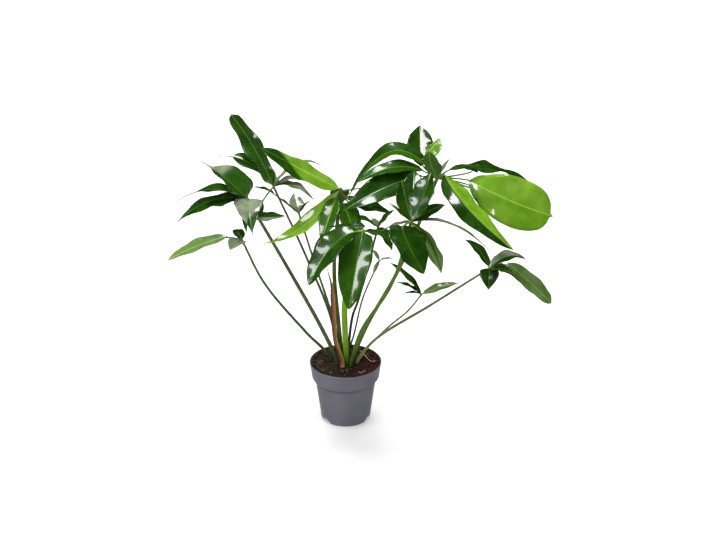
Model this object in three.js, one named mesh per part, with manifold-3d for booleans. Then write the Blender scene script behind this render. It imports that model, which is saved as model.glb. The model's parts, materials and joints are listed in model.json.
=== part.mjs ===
// A potted tree philodendron: a grower pot filled with potting mix, a short buried stem, a papery leaf
// sheath, and twelve fronds, each a long petiole with a crown of glossy, waved leaflets at its tip.
// Millimetres and degrees. +X is right, +Y is back, +Z is up, and the origin is on the ground, under the
// middle of the pot.
import * as THREE from "three";
import { mergeVertices } from "three/addons/utils/BufferGeometryUtils.js";
import Module from "manifold-3d";

// Pot: a rim band, whose underside slopes in to a narrower neck, and a wall that runs down to the foot.
const POT_HEIGHT = 163;
const RIM_RADIUS = 95;
const LIP_HEIGHT = 3;
const LIP_STEP = 0.5;
const BAND_FOOT_RADIUS = 89.4;
const BAND_FOOT_Z = 123;
const NECK_RADIUS = 80.2;
const NECK_Z = 110;
const FOOT_RADIUS = 66;
const FOOT_ROUND = 2.5;
const POT_WALL = 2;
const POT_SEGMENTS = 32;

// Drainage channels, pressed up into the floor from three scallops in the foot
const CHANNEL_ANGLES = [95, 215, 335];
const CHANNEL_HALF_WIDTH = 18;
const CHANNEL_HEIGHT = 10;
const CHANNEL_INNER_REACH = 30;
const CHANNEL_OUTER_REACH = 82;
const DRAIN_RADIUS = 4;
const DRAIN_REACH = 47;

// Soil, heaped up towards the back of the pot
const SOIL_TOP = 161;
const SOIL_HEAP = 5;
const SOIL_RELIEF = 1.4;
const SOIL_CLEARANCE = 0.8;
const SOIL_SEGMENTS = 20;

// Stem, buried under the petioles
const PETIOLE_FOOT_Z = 146;
const STEM_RADIUS = 35;
const STEM_BOTTOM_RADIUS = 16;
const STEM_RING = 1.2;
const STEM_LENGTH = 46;
const STEM_SEGMENTS = 16;
const ROOTED = 10;

// Sheath
const SHEATH_FOOT = [-7, -36, 146];
const SHEATH_SPOTS = [
  { at: [-6, -36, 137], width: 15 },
  { at: [-7.5, -36, 164], width: 16 },
  { at: [-15, -34, 202], width: 13 },
  { at: [-25, -32, 234], width: 14 },
  { at: [-29, -32.5, 290], width: 16 },
  { at: [-31.5, -33, 362], width: 13 },
  { at: [-34, -34, 396], width: 7 },
  { at: [-45, -36, 444], width: 1.2 },
];
const SHEATH_STEPS_PER_SPOT = 2;
const SHEATH_THICKNESS = 1;
const SHEATH_FOLD = 34;

// Petioles and leaflets
const PETIOLE_FLARE = 0.12;
const FLARE_LENGTH = 0.06;
const PETIOLE_SIDES = 6;
const PETIOLE_STEPS = 8;
const STEP_CROWDING = 1.5;
const ARM_SIDES = 5;
const ARM_STEPS = 2;
const KNOB_SWELL = 1.2;
const ARM_RADIUS = 2.6;
const ARM_TAPER = 0.45;
const ARM_LEAD = 9;
const RIB_AT_BASE = 2.6;
const RIB_AT_TIP = 1;
const BLADE_EDGE = 0.8;
const TIP_HALF_WIDTH = 0.6;
const USUAL_FOLD = 12;
const USUAL_WAVE = 0.05;
const USUAL_WIDEST = 0.42;
const USUAL_POINT = 1.8;
const RUFFLE_LENGTH = 0.45;
const TAIL_FULLNESS = 0.1;
const WAVES_PER_BLADE = 2.5;
const PHASE_STEP = 0.37;
const LONG_BLADE = 150;
const BROAD_BLADE = 60;
const MIDDLE_BLADE = 85;
const GAP = 0.35;

// Each frond: the crown its leaflets grow from, where its petiole leaves the soil, two points that the
// petiole passes through, and the petiole's radius at foot and crown.
// Each leaflet: where its base stands from the crown, where its tip lies from that base, its width, its
// upward arch and sideways bend, its roll and fold, how far its edge waves and its outline swells and
// narrows, the shares of its length taken by a narrow neck and a narrow tail, how broad its left and right
// halves are, where it is widest, and how pointed it is.
const FRONDS = [
  {
    name: "frond_low_left",
    crown: [-246, -100, 543],
    foot: [-32, 3],
    via: [[-104, -25, 262], [-200, -67, 416]],
    radii: [4.2, 2.7],
    leaflets: [
      {
        base: [-31, 0, 10], to: [-145, -30, -50], width: 42, arch: 9,
        bend: 6, roll: -20, widest: 0.48, point: 1.5,
      },
      { to: [-22, -60, -2], width: 42, arch: 5, roll: -10 },
      { to: [-22, 40, 12], width: 30, arch: 6 },
    ],
  },
  {
    name: "frond_left",
    crown: [-232, -70, 636],
    foot: [-20, -14],
    via: [[-57, -25, 262], [-138, -45, 439]],
    radii: [5.6, 3.8],
    leaflets: [
      {
        to: [-134, 60, 85], width: 74, arch: 8, bend: -5,
        roll: -10, tail: 0.3, halves: [0.6, 1.4], widest: 0.42, point: 1.5,
      },
      {
        to: [-201, -20, -28], width: 60, arch: 38, bend: -7,
        tail: 0.4, halves: [1.2, 0.9], widest: 0.5, point: 1.6,
      },
      {
        to: [-168, -55, -45], width: 68, arch: 16, bend: -30,
        roll: -10, tail: 0.08, halves: [1.55, 0.6], widest: 0.42, point: 1.4,
      },
      { to: [19, -90, -57], width: 70, arch: 17, bend: -2, widest: 0.33, point: 2.1 },
      { base: [8, -10, -40], to: [85, -25, 10], width: 36, arch: -3, roll: 20 },
      { base: [-11, 0, -37], to: [6, -10, -45], width: 14, arch: 5 },
    ],
  },
  {
    name: "frond_upper_left",
    crown: [-178, 40, 632],
    foot: [-19, 15],
    via: [[-38, 21, 278], [-99, 29, 446]],
    radii: [3.8, 2.8],
    leaflets: [
      {
        to: [-106, 65, 168], width: 48, arch: 7, bend: -6,
        roll: -60, wave: 0.08, ruffle: 0.16, widest: 0.52, point: 0.9,
      },
      {
        to: [-172, 30, 60], width: 46, arch: 29, bend: -26,
        roll: -30, neck: 0.12, tail: 0.36, widest: 0.6, point: 2,
      },
      { to: [-25, 60, 30], width: 32, arch: 10 },
      { to: [97, 10, 2], width: 35, arch: 18 },
      { to: [102, -20, -30], width: 45, arch: 20 },
      { to: [20, 20, 28], width: 15 },
      { to: [133, 45, 28], width: 25, arch: 42 },
      { base: [-30, -15, -30], to: [-5, -15, -45], width: 20 },
    ],
  },
  {
    name: "frond_back_left",
    crown: [-121, 110, 537],
    foot: [-8, 22],
    via: [[-37, 48, 276], [-89, 86, 435]],
    radii: [3.6, 2.6],
    leaflets: [
      { base: [-60, 0, 53], to: [-57, 0, 18], width: 22, arch: 4 },
      { to: [-15, 40, 42], width: 42 },
      { to: [32, 10, 32], width: 14, arch: 4 },
      { base: [-25, 0, 25], to: [-30, 0, 15], width: 14, arch: 2 },
    ],
  },
  {
    name: "frond_centre",
    crown: [-9, -40, 651],
    foot: [-9, 2],
    via: [[-17, -7, 271], [-27, -21, 437]],
    radii: [5.6, 4.6],
    leaflets: [
      {
        to: [-184, -20, 108], width: 58, arch: -2, bend: -2,
        roll: -25, halves: [1.75, 0.9], widest: 0.5, point: 1.3,
      },
      {
        to: [-201, -60, -118], width: 50, arch: -36, bend: -7,
        roll: -20, tail: 0.16, widest: 0.38, point: 1.6,
      },
      { base: [-9, -10, -13], to: [-38, -52, -97], width: 52, arch: 9, bend: 3, widest: 0.5 },
      { base: [1, -10, -29], to: [29, -56, -69], width: 58, arch: 5, bend: 5, widest: 0.5 },
      { base: [11, -10, -31], to: [111, -20, -19], width: 56, arch: 3, bend: -1, roll: 10 },
      { base: [6, -10, -19], to: [67, -30, -10], width: 40, arch: 5 },
      { base: [8, -10, -3], to: [58, -12, 12], width: 10, arch: 3 },
      { to: [-8, 130, -92], width: 50, arch: 8 },
    ],
  },
  {
    name: "frond_front",
    crown: [44, -250, 622],
    foot: [4, -16],
    via: [[0, -75, 290], [2, -127, 397]],
    radii: [7.4, 7.4],
    leaflets: [
      {
        base: [-17, 0, 0], to: [-103, -60, -106], width: 76, arch: 21,
        bend: -7, roll: -12, widest: 0.46, point: 1.3,
      },
      {
        base: [0, 0, 0], to: [-31, -80, -156], width: 82, arch: 20,
        bend: 2, halves: [0.9, 1.06], widest: 0.42, point: 1.15,
      },
      { to: [65, -20, -14], width: 35, arch: 4 },
      { to: [-75, 130, -40], width: 58, arch: 8 },
    ],
  },
  {
    name: "frond_front_right",
    crown: [155, -190, 622],
    foot: [14, -28],
    via: [[41, -66, 282], [114, -122, 435]],
    radii: [4.6, 3.5],
    leaflets: [
      {
        base: [-24, -4, -6], to: [52, -60, -96], width: 100,
        arch: 11, bend: -11, widest: 0.38, point: 1.15,
      },
      { to: [-22, 60, 81], width: 54, widest: 0.5 },
      { to: [10, 100, 92], width: 66, widest: 0.5 },
      { to: [45, 35, 108], width: 72, arch: 2, bend: -6, widest: 0.5 },
      { to: [-52, 30, 38], width: 16 },
      { to: [-71, 20, -32], width: 25, arch: 5 },
      { to: [79, -5, -138], width: 16, arch: 29, bend: -7 },
      { to: [76, 42, -145], width: 56, bend: -14, roll: -20 },
      { to: [80, 30, 31], width: 34, arch: 5, roll: 30 },
      { to: [200, 20, -95], width: 22, arch: 35 },
    ],
  },
  {
    name: "frond_upper_right",
    crown: [223, -50, 683],
    foot: [17, -7],
    via: [[52, -15, 264], [142, -30, 452]],
    radii: [5.4, 4.2],
    leaflets: [
      {
        base: [69, 20, -6], to: [210, -50, -81], width: 122, arch: 2, bend: -27,
        roll: 66, neck: 0.05, tail: 0.04, widest: 0.6, point: 1.15,
      },
      {
        base: [14, -16, 17], to: [156, -128, -146], width: 86, arch: 17,
        bend: -43, roll: 20, fold: -25, halves: [1.15, 0.65], point: 1.45,
      },
      {
        base: [20, 8, 15], to: [215, 60, -47], width: 76, arch: 27,
        roll: 4, fold: -5, wave: 0.08, widest: 0.6,
      },
      { base: [100, 5, 11], to: [-47, 15, 8], width: 26, arch: 3 },
      { base: [77, 4, -14], to: [35, -40, -55], width: 34, arch: 6, bend: 4, widest: 0.5 },
      { base: [112, 4, -32], to: [31, -34, -54], width: 34, arch: 1, bend: -3, widest: 0.5 },
      { base: [-40, 5, 25], to: [0, 80, 82], width: 66, widest: 0.5, point: 1.9 },
      {
        base: [-40, 0, 42], to: [46, 20, 51], width: 46, arch: -2, bend: 4,
        roll: 40, neck: 0.2, halves: [0.3, 1.1], widest: 0.5, point: 1.5,
      },
      { base: [-20, 0, 22], to: [-195, 28, -84], width: 52, arch: 80, roll: -25 },
      { base: [-30, -4, 18], to: [-165, -35, -20], width: 40, arch: 24, roll: -30 },
      { base: [-36, -10, 10], to: [-189, -70, -66], width: 72, arch: 12, roll: -40 },
      { base: [0, -10, 5], to: [-24, -50, 79], width: 46, bend: -7, roll: 0 },
      { to: [31, 14, 46], width: 16, arch: 2 },
    ],
  },
  {
    name: "frond_small_right",
    crown: [203, 90, 315],
    foot: [29, 1],
    via: [[109, 43, 236], [167, 70, 276]],
    radii: [2.8, 2.2],
    leaflets: [
      { to: [98, 0, 32], width: 28, arch: 6, bend: -3, roll: 25 },
      { to: [-87, 30, 80], width: 32, arch: 3, bend: -9 },
      { to: [-69, 0, 35], width: 26, arch: 7, bend: 3 },
      { to: [-50, -10, 5], width: 15, arch: 5 },
    ],
  },
  {
    name: "frond_low_right",
    crown: [366, -10, 432],
    foot: [29, -14],
    via: [[75, -13, 229], [221, -12, 331]],
    radii: [4, 2.8],
    leaflets: [
      { to: [-61, 40, 61], width: 32, arch: 8, bend: -8, roll: -15 },
      { to: [-7, -50, -38], width: 50, arch: 8 },
      { to: [98, 30, 10], width: 44, arch: 22, roll: 10 },
      { to: [55, -34, 0], width: 48, arch: 4 },
      {
        base: [42, -6, 19], to: [113, -36, -97], width: 48, arch: 3,
        bend: -2, roll: 35, widest: 0.55, point: 1.1,
      },
      { to: [92, -20, -48], width: 22, arch: 15 },
    ],
  },
  {
    name: "frond_back",
    crown: [85, 90, 505],
    foot: [6, 9],
    via: [[18, 34, 274], [33, 45, 316]],
    radii: [3.8, 2.8],
    leaflets: [
      { to: [37, -30, -55], width: 40, arch: 8 },
      { to: [-18, 10, 20], width: 25, arch: 4 },
      { to: [42, 10, 45], width: 30, arch: 4 },
      { to: [-80, 0, 30], width: 35, arch: 8 },
    ],
  },
  {
    name: "frond_back_small",
    crown: [90, 130, 395],
    foot: [3, 21],
    via: [[22, 47, 216], [46, 87, 305]],
    radii: [2.6, 2],
    leaflets: [
      { to: [-18, -20, -35], width: 14, arch: 2 },
      { to: [38, 0, 5], width: 14, arch: 4 },
      { to: [-20, 20, 25], width: 14, arch: 4 },
    ],
  },
];

const wasm = await Module();
wasm.setup();
const UP = new THREE.Vector3(0, 0, 1);
const vector = (list) => new THREE.Vector3(...list);
const radians = THREE.MathUtils.degToRad;

// Joining and cutting: a geometry becomes a solid, and a solid a geometry again.
function solid(geometry) {
  const bare = geometry.clone();
  bare.deleteAttribute("normal");
  bare.deleteAttribute("uv");
  const merged = mergeVertices(bare, 1e-4);
  const vertProperties = merged.attributes.position.array;
  const triVerts = new Uint32Array(merged.index.array);
  return new wasm.Manifold(new wasm.Mesh({ numProp: 3, vertProperties, triVerts }));
}

function geometryOf(made) {
  const { vertProperties, triVerts } = made.getMesh();
  const geometry = new THREE.BufferGeometry();
  geometry.setAttribute("position", new THREE.BufferAttribute(vertProperties, 3));
  geometry.setIndex(new THREE.BufferAttribute(triVerts, 1));
  return geometry;
}

// The whole without loose scraps, and with any hollow that joining sealed filled in.
function wholePiece(made) {
  const pieces = made.decompose();
  return pieces.reduce((a, b) => (a.volume() > b.volume() ? a : b));
}

// A profile of [radius, height] pairs turned round the pot's upright axis.
function turned(profile, segments = POT_SEGMENTS) {
  const points = profile.map(([radius, height]) => new THREE.Vector2(radius, height));
  return new THREE.LatheGeometry(points, segments).rotateX(Math.PI / 2);
}

// A round bar along a curve. radiusAt gives its radius for each share of the curve's length.
function bar(curve, radiusAt, sides, steps) {
  const geometry = new THREE.CylinderGeometry(1, 1, 1, sides, steps);
  const place = geometry.attributes.position;
  for (let i = 0; i < place.count; i++) {
    const share = place.getY(i) + 0.5;
    const along = curve.getTangent(share);
    const side = new THREE.Vector3(0, 1, 0).cross(along).normalize();
    const out = side.clone().cross(along);
    const radius = radiusAt(share);
    const point = curve.getPoint(share);
    point.addScaledVector(side, place.getX(i) * radius);
    point.addScaledVector(out, place.getZ(i) * radius);
    place.setXYZ(i, ...point);
  }
  return geometry;
}

// A thin plate between two like faces. rows are lines of points across it, each with the half thickness
// vector of that point, so both faces are split into triangles alike.
function plate(rows) {
  const across = rows[0].length;
  const middle = (across - 1) / 2;
  const faceSize = rows.length * across;
  const points = [1, -1].flatMap((face) =>
    rows.flatMap((row) => row.flatMap(({ point, half }) => [...point.clone().addScaledVector(half, face)])),
  );
  const triangles = [];
  for (let i = 0; i < rows.length - 1; i++) {
    for (let j = 0; j < across - 1; j++) {
      const [a, b] = [i * across + j, (i + 1) * across + j];
      const [c, d] = [b + 1, a + 1];
      const split = j < middle ? [[a, b, d], [b, c, d]] : [[a, b, c], [a, c, d]];
      for (const [p, q, r] of split) {
        triangles.push(p, q, r, p + faceSize, r + faceSize, q + faceSize);
      }
    }
  }
  const last = rows.length - 1;
  const left = rows.map((_, i) => i * across);
  const end = rows[0].map((_, j) => last * across + j);
  const right = rows.map((_, i) => (last - i) * across + across - 1);
  const start = rows[0].map((_, j) => across - 1 - j);
  for (const edge of [left, end, right, start]) {
    for (let k = 0; k < edge.length - 1; k++) {
      const [p, q] = [edge[k], edge[k + 1]];
      triangles.push(p, p + faceSize, q, q, p + faceSize, q + faceSize);
    }
  }
  const geometry = new THREE.BufferGeometry();
  geometry.setAttribute("position", new THREE.Float32BufferAttribute(points, 3));
  geometry.setIndex(triangles);
  return geometry;
}

function potOutside() {
  return [
    [0, 0],
    [FOOT_RADIUS - FOOT_ROUND, 0],
    [FOOT_RADIUS, FOOT_ROUND],
    [NECK_RADIUS, NECK_Z],
    [BAND_FOOT_RADIUS - LIP_STEP, BAND_FOOT_Z - LIP_HEIGHT],
    [BAND_FOOT_RADIUS, BAND_FOOT_Z],
    [RIM_RADIUS - LIP_STEP, POT_HEIGHT - LIP_HEIGHT],
    [RIM_RADIUS, POT_HEIGHT - 2 * LIP_STEP],
    [RIM_RADIUS - LIP_STEP, POT_HEIGHT],
    [0, POT_HEIGHT],
  ];
}

// The space inside the pot, drawn in from its walls by inset.
function potInside(inset, top) {
  const wall = POT_WALL + inset;
  const slope = (RIM_RADIUS - BAND_FOOT_RADIUS) / (POT_HEIGHT - BAND_FOOT_Z);
  const topRadius = BAND_FOOT_RADIUS + (top - BAND_FOOT_Z) * slope - wall;
  return [
    [0, wall],
    [FOOT_RADIUS - wall - FOOT_ROUND, wall],
    [FOOT_RADIUS - wall, wall + FOOT_ROUND],
    [NECK_RADIUS - wall, NECK_Z],
    [BAND_FOOT_RADIUS - wall, BAND_FOOT_Z],
    [topRadius, top],
    [0, top],
  ];
}

// The rounded tunnel of one drainage channel, wider all round by grow.
function channelTunnel(angle, grow) {
  const halfWidth = CHANNEL_HALF_WIDTH + grow;
  const innerReach = CHANNEL_INNER_REACH - grow;
  const length = (CHANNEL_OUTER_REACH - innerReach) / halfWidth;
  const tunnel = new THREE.CapsuleGeometry(1, length, 3, 10);
  tunnel.rotateZ(-Math.PI / 2);
  tunnel.scale(halfWidth, halfWidth, CHANNEL_HEIGHT + grow);
  tunnel.translate(innerReach + halfWidth * (1 + length / 2), 0, 0);
  return solid(tunnel.rotateZ(radians(angle)));
}

function drainHole(angle) {
  const hole = new THREE.CylinderGeometry(DRAIN_RADIUS, DRAIN_RADIUS, 2 * CHANNEL_HEIGHT, 12);
  hole.rotateX(Math.PI / 2).translate(DRAIN_REACH, 0, CHANNEL_HEIGHT);
  return solid(hole.rotateZ(radians(angle)));
}

function makePot() {
  const outer = solid(turned(potOutside()));
  let pot = outer.subtract(solid(turned(potInside(0, POT_HEIGHT + 1))));
  for (const angle of CHANNEL_ANGLES) {
    pot = pot.add(channelTunnel(angle, POT_WALL).intersect(outer));
  }
  for (const angle of CHANNEL_ANGLES) {
    pot = pot.subtract(channelTunnel(angle, 0)).subtract(drainHole(angle));
  }
  return pot;
}

// A stubby stem that swells under the petioles, ringed where old leaves have dropped.
function stemProfile(grow) {
  const rings = 2;
  const top = PETIOLE_FOOT_Z - GAP + grow;
  const bottom = PETIOLE_FOOT_Z - STEM_LENGTH - grow;
  const profile = [[0, bottom], [STEM_BOTTOM_RADIUS + grow, bottom]];
  for (let i = 1; i <= rings; i++) {
    const share = i / (rings + 1);
    const swell = Math.sin((share * Math.PI) / 2);
    const radius = THREE.MathUtils.lerp(STEM_BOTTOM_RADIUS, STEM_RADIUS, swell) + grow;
    const height = bottom + share * (top - bottom);
    profile.push([radius, height], [radius - STEM_RING, height + 2 * STEM_RING]);
  }
  const rounding = 2 * STEM_RING;
  profile.push([STEM_RADIUS + grow, top - rounding], [STEM_RADIUS - rounding + grow, top], [0, top]);
  return profile;
}

function makeStem() {
  return solid(turned(stemProfile(0), STEM_SEGMENTS));
}

// What grows from the stem is cut level on top of it.
function cutLevel(made) {
  const floor = PETIOLE_FOOT_Z - 3 * ROOTED;
  const reach = 2 * STEM_RADIUS;
  const below = turned([[0, floor], [reach, floor], [reach, PETIOLE_FOOT_Z], [0, PETIOLE_FOOT_Z]], 12);
  return made.subtract(solid(below));
}

// Petioles
function petioleRoute(frond) {
  const rooted = new THREE.Vector3(...frond.foot, PETIOLE_FOOT_Z - ROOTED);
  const foot = new THREE.Vector3(...frond.foot, SOIL_TOP);
  return new THREE.CatmullRomCurve3([rooted, foot, ...frond.via.map(vector), vector(frond.crown)]);
}

function knobRadius(frond) {
  return KNOB_SWELL * frond.radii[1];
}

// The petiole starts below the soil, stops short of the crown by stop, and is thicker all round by grow. Its
// steps are closer together near the foot, where it bends.
function petioleBar(frond, stop, grow) {
  const route = petioleRoute(frond);
  const reach = 1 - stop / route.getLength();
  const shareAt = (share) => reach * share ** STEP_CROWDING;
  const part = {
    getPoint: (share) => route.getPointAt(shareAt(share)),
    getTangent: (share) => route.getTangentAt(shareAt(share)),
  };
  const [footRadius, crownRadius] = frond.radii;
  const radiusAt = (share) => {
    const flare = 1 + PETIOLE_FLARE * Math.exp(-shareAt(share) / FLARE_LENGTH);
    return THREE.MathUtils.lerp(footRadius, crownRadius, shareAt(share)) * flare + grow;
  };
  return solid(bar(part, radiusAt, PETIOLE_SIDES, PETIOLE_STEPS));
}

// Leaflets. The outline gives how full a blade is at each share of its length, from 0 to 1.
function bladeOutline(share, leaflet) {
  const { neck = 0, tail = 0, ruffle = 0, widest = USUAL_WIDEST, point = USUAL_POINT } = leaflet;
  const rise = point * widest;
  const fall = point * (1 - widest);
  const full = widest ** rise * (1 - widest) ** fall;
  const along = THREE.MathUtils.clamp((share - neck) / (1 - tail - neck), 0, 1);
  const swell = 1 + ruffle * Math.cos((2 * Math.PI * (share - widest)) / RUFFLE_LENGTH);
  const fullness = (swell * along ** rise * (1 - along) ** fall) / full;
  if (tail === 0 || along < widest) {
    return fullness;
  }
  return Math.max(fullness, TAIL_FULLNESS * Math.min(1, (1 - share) / tail));
}

function bladeSize(leaflet) {
  const length = Math.hypot(...leaflet.to);
  if (length > LONG_BLADE && leaflet.width > BROAD_BLADE) {
    return { steps: 8, halfAcross: 2 };
  }
  if (length > LONG_BLADE) {
    return { steps: 8, halfAcross: 1 };
  }
  return { steps: length > MIDDLE_BLADE ? 6 : 4, halfAcross: 1 };
}

// The way left across a leaflet, level with the ground.
function leftOf(leaflet) {
  return new THREE.Vector3(-leaflet.to[1], leaflet.to[0], 0).normalize();
}

function midrib(start, leaflet) {
  const { to, arch = 0, bend = 0 } = leaflet;
  const middle = start.clone().addScaledVector(vector(to), 0.5);
  middle.addScaledVector(UP, 2 * arch).addScaledVector(leftOf(leaflet), 2 * bend);
  return new THREE.QuadraticBezierCurve3(start, middle, start.clone().add(vector(to)));
}

// The rows of points across one blade, from its base, sunk in the crown or arm, to its drip tip.
function bladeRows(start, leaflet, sunk, phase) {
  const { to, width, roll = 0, fold = USUAL_FOLD, wave = USUAL_WAVE, halves = [1, 1] } = leaflet;
  const { steps, halfAcross } = bladeSize(leaflet);
  const rib = midrib(start, leaflet);
  const left = leftOf(leaflet);
  const first = sunk / Math.hypot(...to);
  const rows = [];
  for (let i = 0; i <= steps; i++) {
    const share = THREE.MathUtils.lerp(first, 1, i / steps);
    const middle = rib.getPoint(share);
    const along = rib.getTangent(share);
    const side = left.clone().addScaledVector(along, -left.dot(along)).normalize();
    side.applyAxisAngle(along, radians(roll));
    const out = along.clone().cross(side);
    const fullness = bladeOutline(share, leaflet);
    const thick = THREE.MathUtils.lerp(RIB_AT_BASE, RIB_AT_TIP, share);
    const row = [];
    for (let j = -halfAcross; j <= halfAcross; j++) {
      const reachOut = j / halfAcross;
      const broad = reachOut > 0 ? halves[0] : halves[1];
      const halfWidth = Math.max(0.5 * width * fullness * broad, TIP_HALF_WIDTH);
      const turn = WAVES_PER_BLADE * share + phase + (reachOut > 0 ? 0.25 : 0);
      const ripple = wave * width * fullness * reachOut ** 2 * Math.sin(2 * Math.PI * turn);
      const lift = Math.abs(reachOut) * halfWidth * Math.sin(radians(fold)) + ripple;
      const spot = middle.clone().addScaledVector(side, reachOut * halfWidth * Math.cos(radians(fold)));
      const plateThickness = THREE.MathUtils.lerp(thick, BLADE_EDGE, Math.abs(reachOut));
      const half = out.clone().multiplyScalar(plateThickness / 2);
      row.push({ point: spot.addScaledVector(out, lift), half });
    }
    rows.push(row);
  }
  return rows;
}

// The branch that carries a leaflet away from the crown, turning into its midrib.
function armBar(crown, start, leaflet) {
  const lead = midrib(start, leaflet).getPoint(ARM_LEAD / Math.hypot(...leaflet.to));
  const curve = new THREE.QuadraticBezierCurve3(crown, start, lead);
  const radiusAt = (share) => ARM_RADIUS * (1 - ARM_TAPER * share);
  return solid(bar(curve, radiusAt, ARM_SIDES, ARM_STEPS));
}

function makeLeaflets(frond) {
  const crown = vector(frond.crown);
  const knob = new THREE.SphereGeometry(knobRadius(frond), 6, 4);
  let leaflets = solid(knob.rotateX(Math.PI / 2).translate(...crown));
  frond.leaflets.forEach((leaflet, k) => {
    const start = crown.clone().add(vector(leaflet.base ?? [0, 0, 0]));
    const sunk = leaflet.base ? ARM_RADIUS : knobRadius(frond) / 2;
    leaflets = leaflets.add(solid(plate(bladeRows(start, leaflet, sunk, k * PHASE_STEP))));
    if (leaflet.base) {
      leaflets = leaflets.add(armBar(crown, start, leaflet));
    }
  });
  const petioleRoom = petioleBar(frond, knobRadius(frond), GAP);
  return wholePiece(leaflets.subtract(petioleRoom));
}

// Sheath: a folded papery strip, broad at its foot and drawn out into a thread at its tip.
function sheathWidth(share) {
  const gaps = SHEATH_SPOTS.length - 1;
  const below = Math.min(Math.floor(share * gaps), gaps - 1);
  const [near, far] = [SHEATH_SPOTS[below], SHEATH_SPOTS[below + 1]];
  return THREE.MathUtils.lerp(near.width, far.width, share * gaps - below);
}

function sheathRows(grow) {
  const route = new THREE.CatmullRomCurve3(SHEATH_SPOTS.map((spot) => vector(spot.at)));
  const steps = SHEATH_STEPS_PER_SPOT * (SHEATH_SPOTS.length - 1);
  const fold = radians(SHEATH_FOLD);
  const rows = [];
  for (let i = 0; i <= steps; i++) {
    const share = i / steps;
    const along = route.getTangent(share);
    const side = new THREE.Vector3(0, 1, 0).cross(along).normalize();
    const out = along.clone().cross(side);
    const halfWidth = sheathWidth(share) / 2 + grow;
    const row = [-1, -0.5, 0, 0.5, 1].map((reachOut) => {
      const spot = route.getPoint(share);
      spot.addScaledVector(side, reachOut * halfWidth * Math.cos(fold));
      spot.addScaledVector(out, reachOut ** 2 * halfWidth * Math.sin(fold));
      return { point: spot, half: out.clone().multiplyScalar(SHEATH_THICKNESS / 2 + grow) };
    });
    rows.push(row);
  }
  return rows;
}

// Soil: the root ball of potting mix, uneven on top, with plain holes where the plant goes in.
function makeSoil() {
  const mound = turned(soilProfile(), SOIL_SEGMENTS);
  const place = mound.attributes.position;
  for (let i = 0; i < place.count; i++) {
    const [x, y, z] = [place.getX(i), place.getY(i), place.getZ(i)];
    if (z > SOIL_TOP - 1) {
      const swell = Math.sin(x / 11 + 1) * Math.cos(y / 13 - 0.6) + 0.6 * Math.sin((x + y) / 7);
      const heap = SOIL_HEAP * THREE.MathUtils.smoothstep(y, -RIM_RADIUS, RIM_RADIUS);
      place.setZ(i, z + heap + 0.6 * SOIL_RELIEF * swell);
    }
  }
  let soil = solid(mound).subtract(solid(turned(stemProfile(SOIL_CLEARANCE), STEM_SEGMENTS)));
  for (const angle of CHANNEL_ANGLES) {
    soil = soil.subtract(channelTunnel(angle, POT_WALL + SOIL_CLEARANCE));
  }
  for (const frond of FRONDS) {
    soil = soil.subtract(petioleBar(frond, 0, SOIL_CLEARANCE));
  }
  return wholePiece(soil.subtract(solid(plate(sheathRows(SOIL_CLEARANCE)))));
}

function soilProfile() {
  const sides = potInside(SOIL_CLEARANCE, SOIL_TOP).slice(0, -1);
  const edge = sides[sides.length - 1][0];
  const rings = [0.86, 0.6, 0.3, 0].map((share) => [edge * share, SOIL_TOP]);
  return [...sides, ...rings];
}

const POT_GREY = new THREE.MeshStandardMaterial({ color: 0x66656d, roughness: 0.55, metalness: 0 });
const SOIL_BROWN = new THREE.MeshStandardMaterial({ color: 0x2d1e19, roughness: 0.95, metalness: 0 });
const STEM_OLIVE = new THREE.MeshStandardMaterial({ color: 0x4a4a2c, roughness: 0.8, metalness: 0 });
const SHEATH_TAN = new THREE.MeshStandardMaterial({ color: 0x96602f, roughness: 0.7, metalness: 0 });
const PETIOLE_GREEN = new THREE.MeshStandardMaterial({ color: 0x4c5f2a, roughness: 0.45, metalness: 0 });
const LEAF_GREEN = new THREE.MeshStandardMaterial({ color: 0x2a5a12, roughness: 0.2, metalness: 0 });

// A named mesh that stands at its own reference point.
function piece(name, made, material, at = [0, 0, 0]) {
  const mesh = new THREE.Mesh(geometryOf(made).translate(-at[0], -at[1], -at[2]), material);
  mesh.name = name;
  mesh.position.set(...at);
  return mesh;
}

function makeFrond(frond) {
  const group = new THREE.Group();
  const foot = [...frond.foot, PETIOLE_FOOT_Z];
  const petiole = cutLevel(petioleBar(frond, knobRadius(frond) + GAP, 0));
  group.add(piece(frond.name + "_petiole", petiole, PETIOLE_GREEN, foot));
  group.add(piece(frond.name + "_leaflets", makeLeaflets(frond), LEAF_GREEN, frond.crown));
  return group;
}

const plant = new THREE.Group();
plant.add(piece("stem", makeStem(), STEM_OLIVE));
plant.add(piece("sheath", cutLevel(solid(plate(sheathRows(0)))), SHEATH_TAN, SHEATH_FOOT));
for (const frond of FRONDS) {
  plant.add(makeFrond(frond));
}

const potted = new THREE.Group();
potted.add(piece("pot", makePot(), POT_GREY));
potted.add(piece("soil", makeSoil(), SOIL_BROWN));
potted.add(plant);

export default potted;
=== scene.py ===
import json
import math

import bmesh
import bpy
import numpy as np
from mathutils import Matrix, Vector, noise

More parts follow.
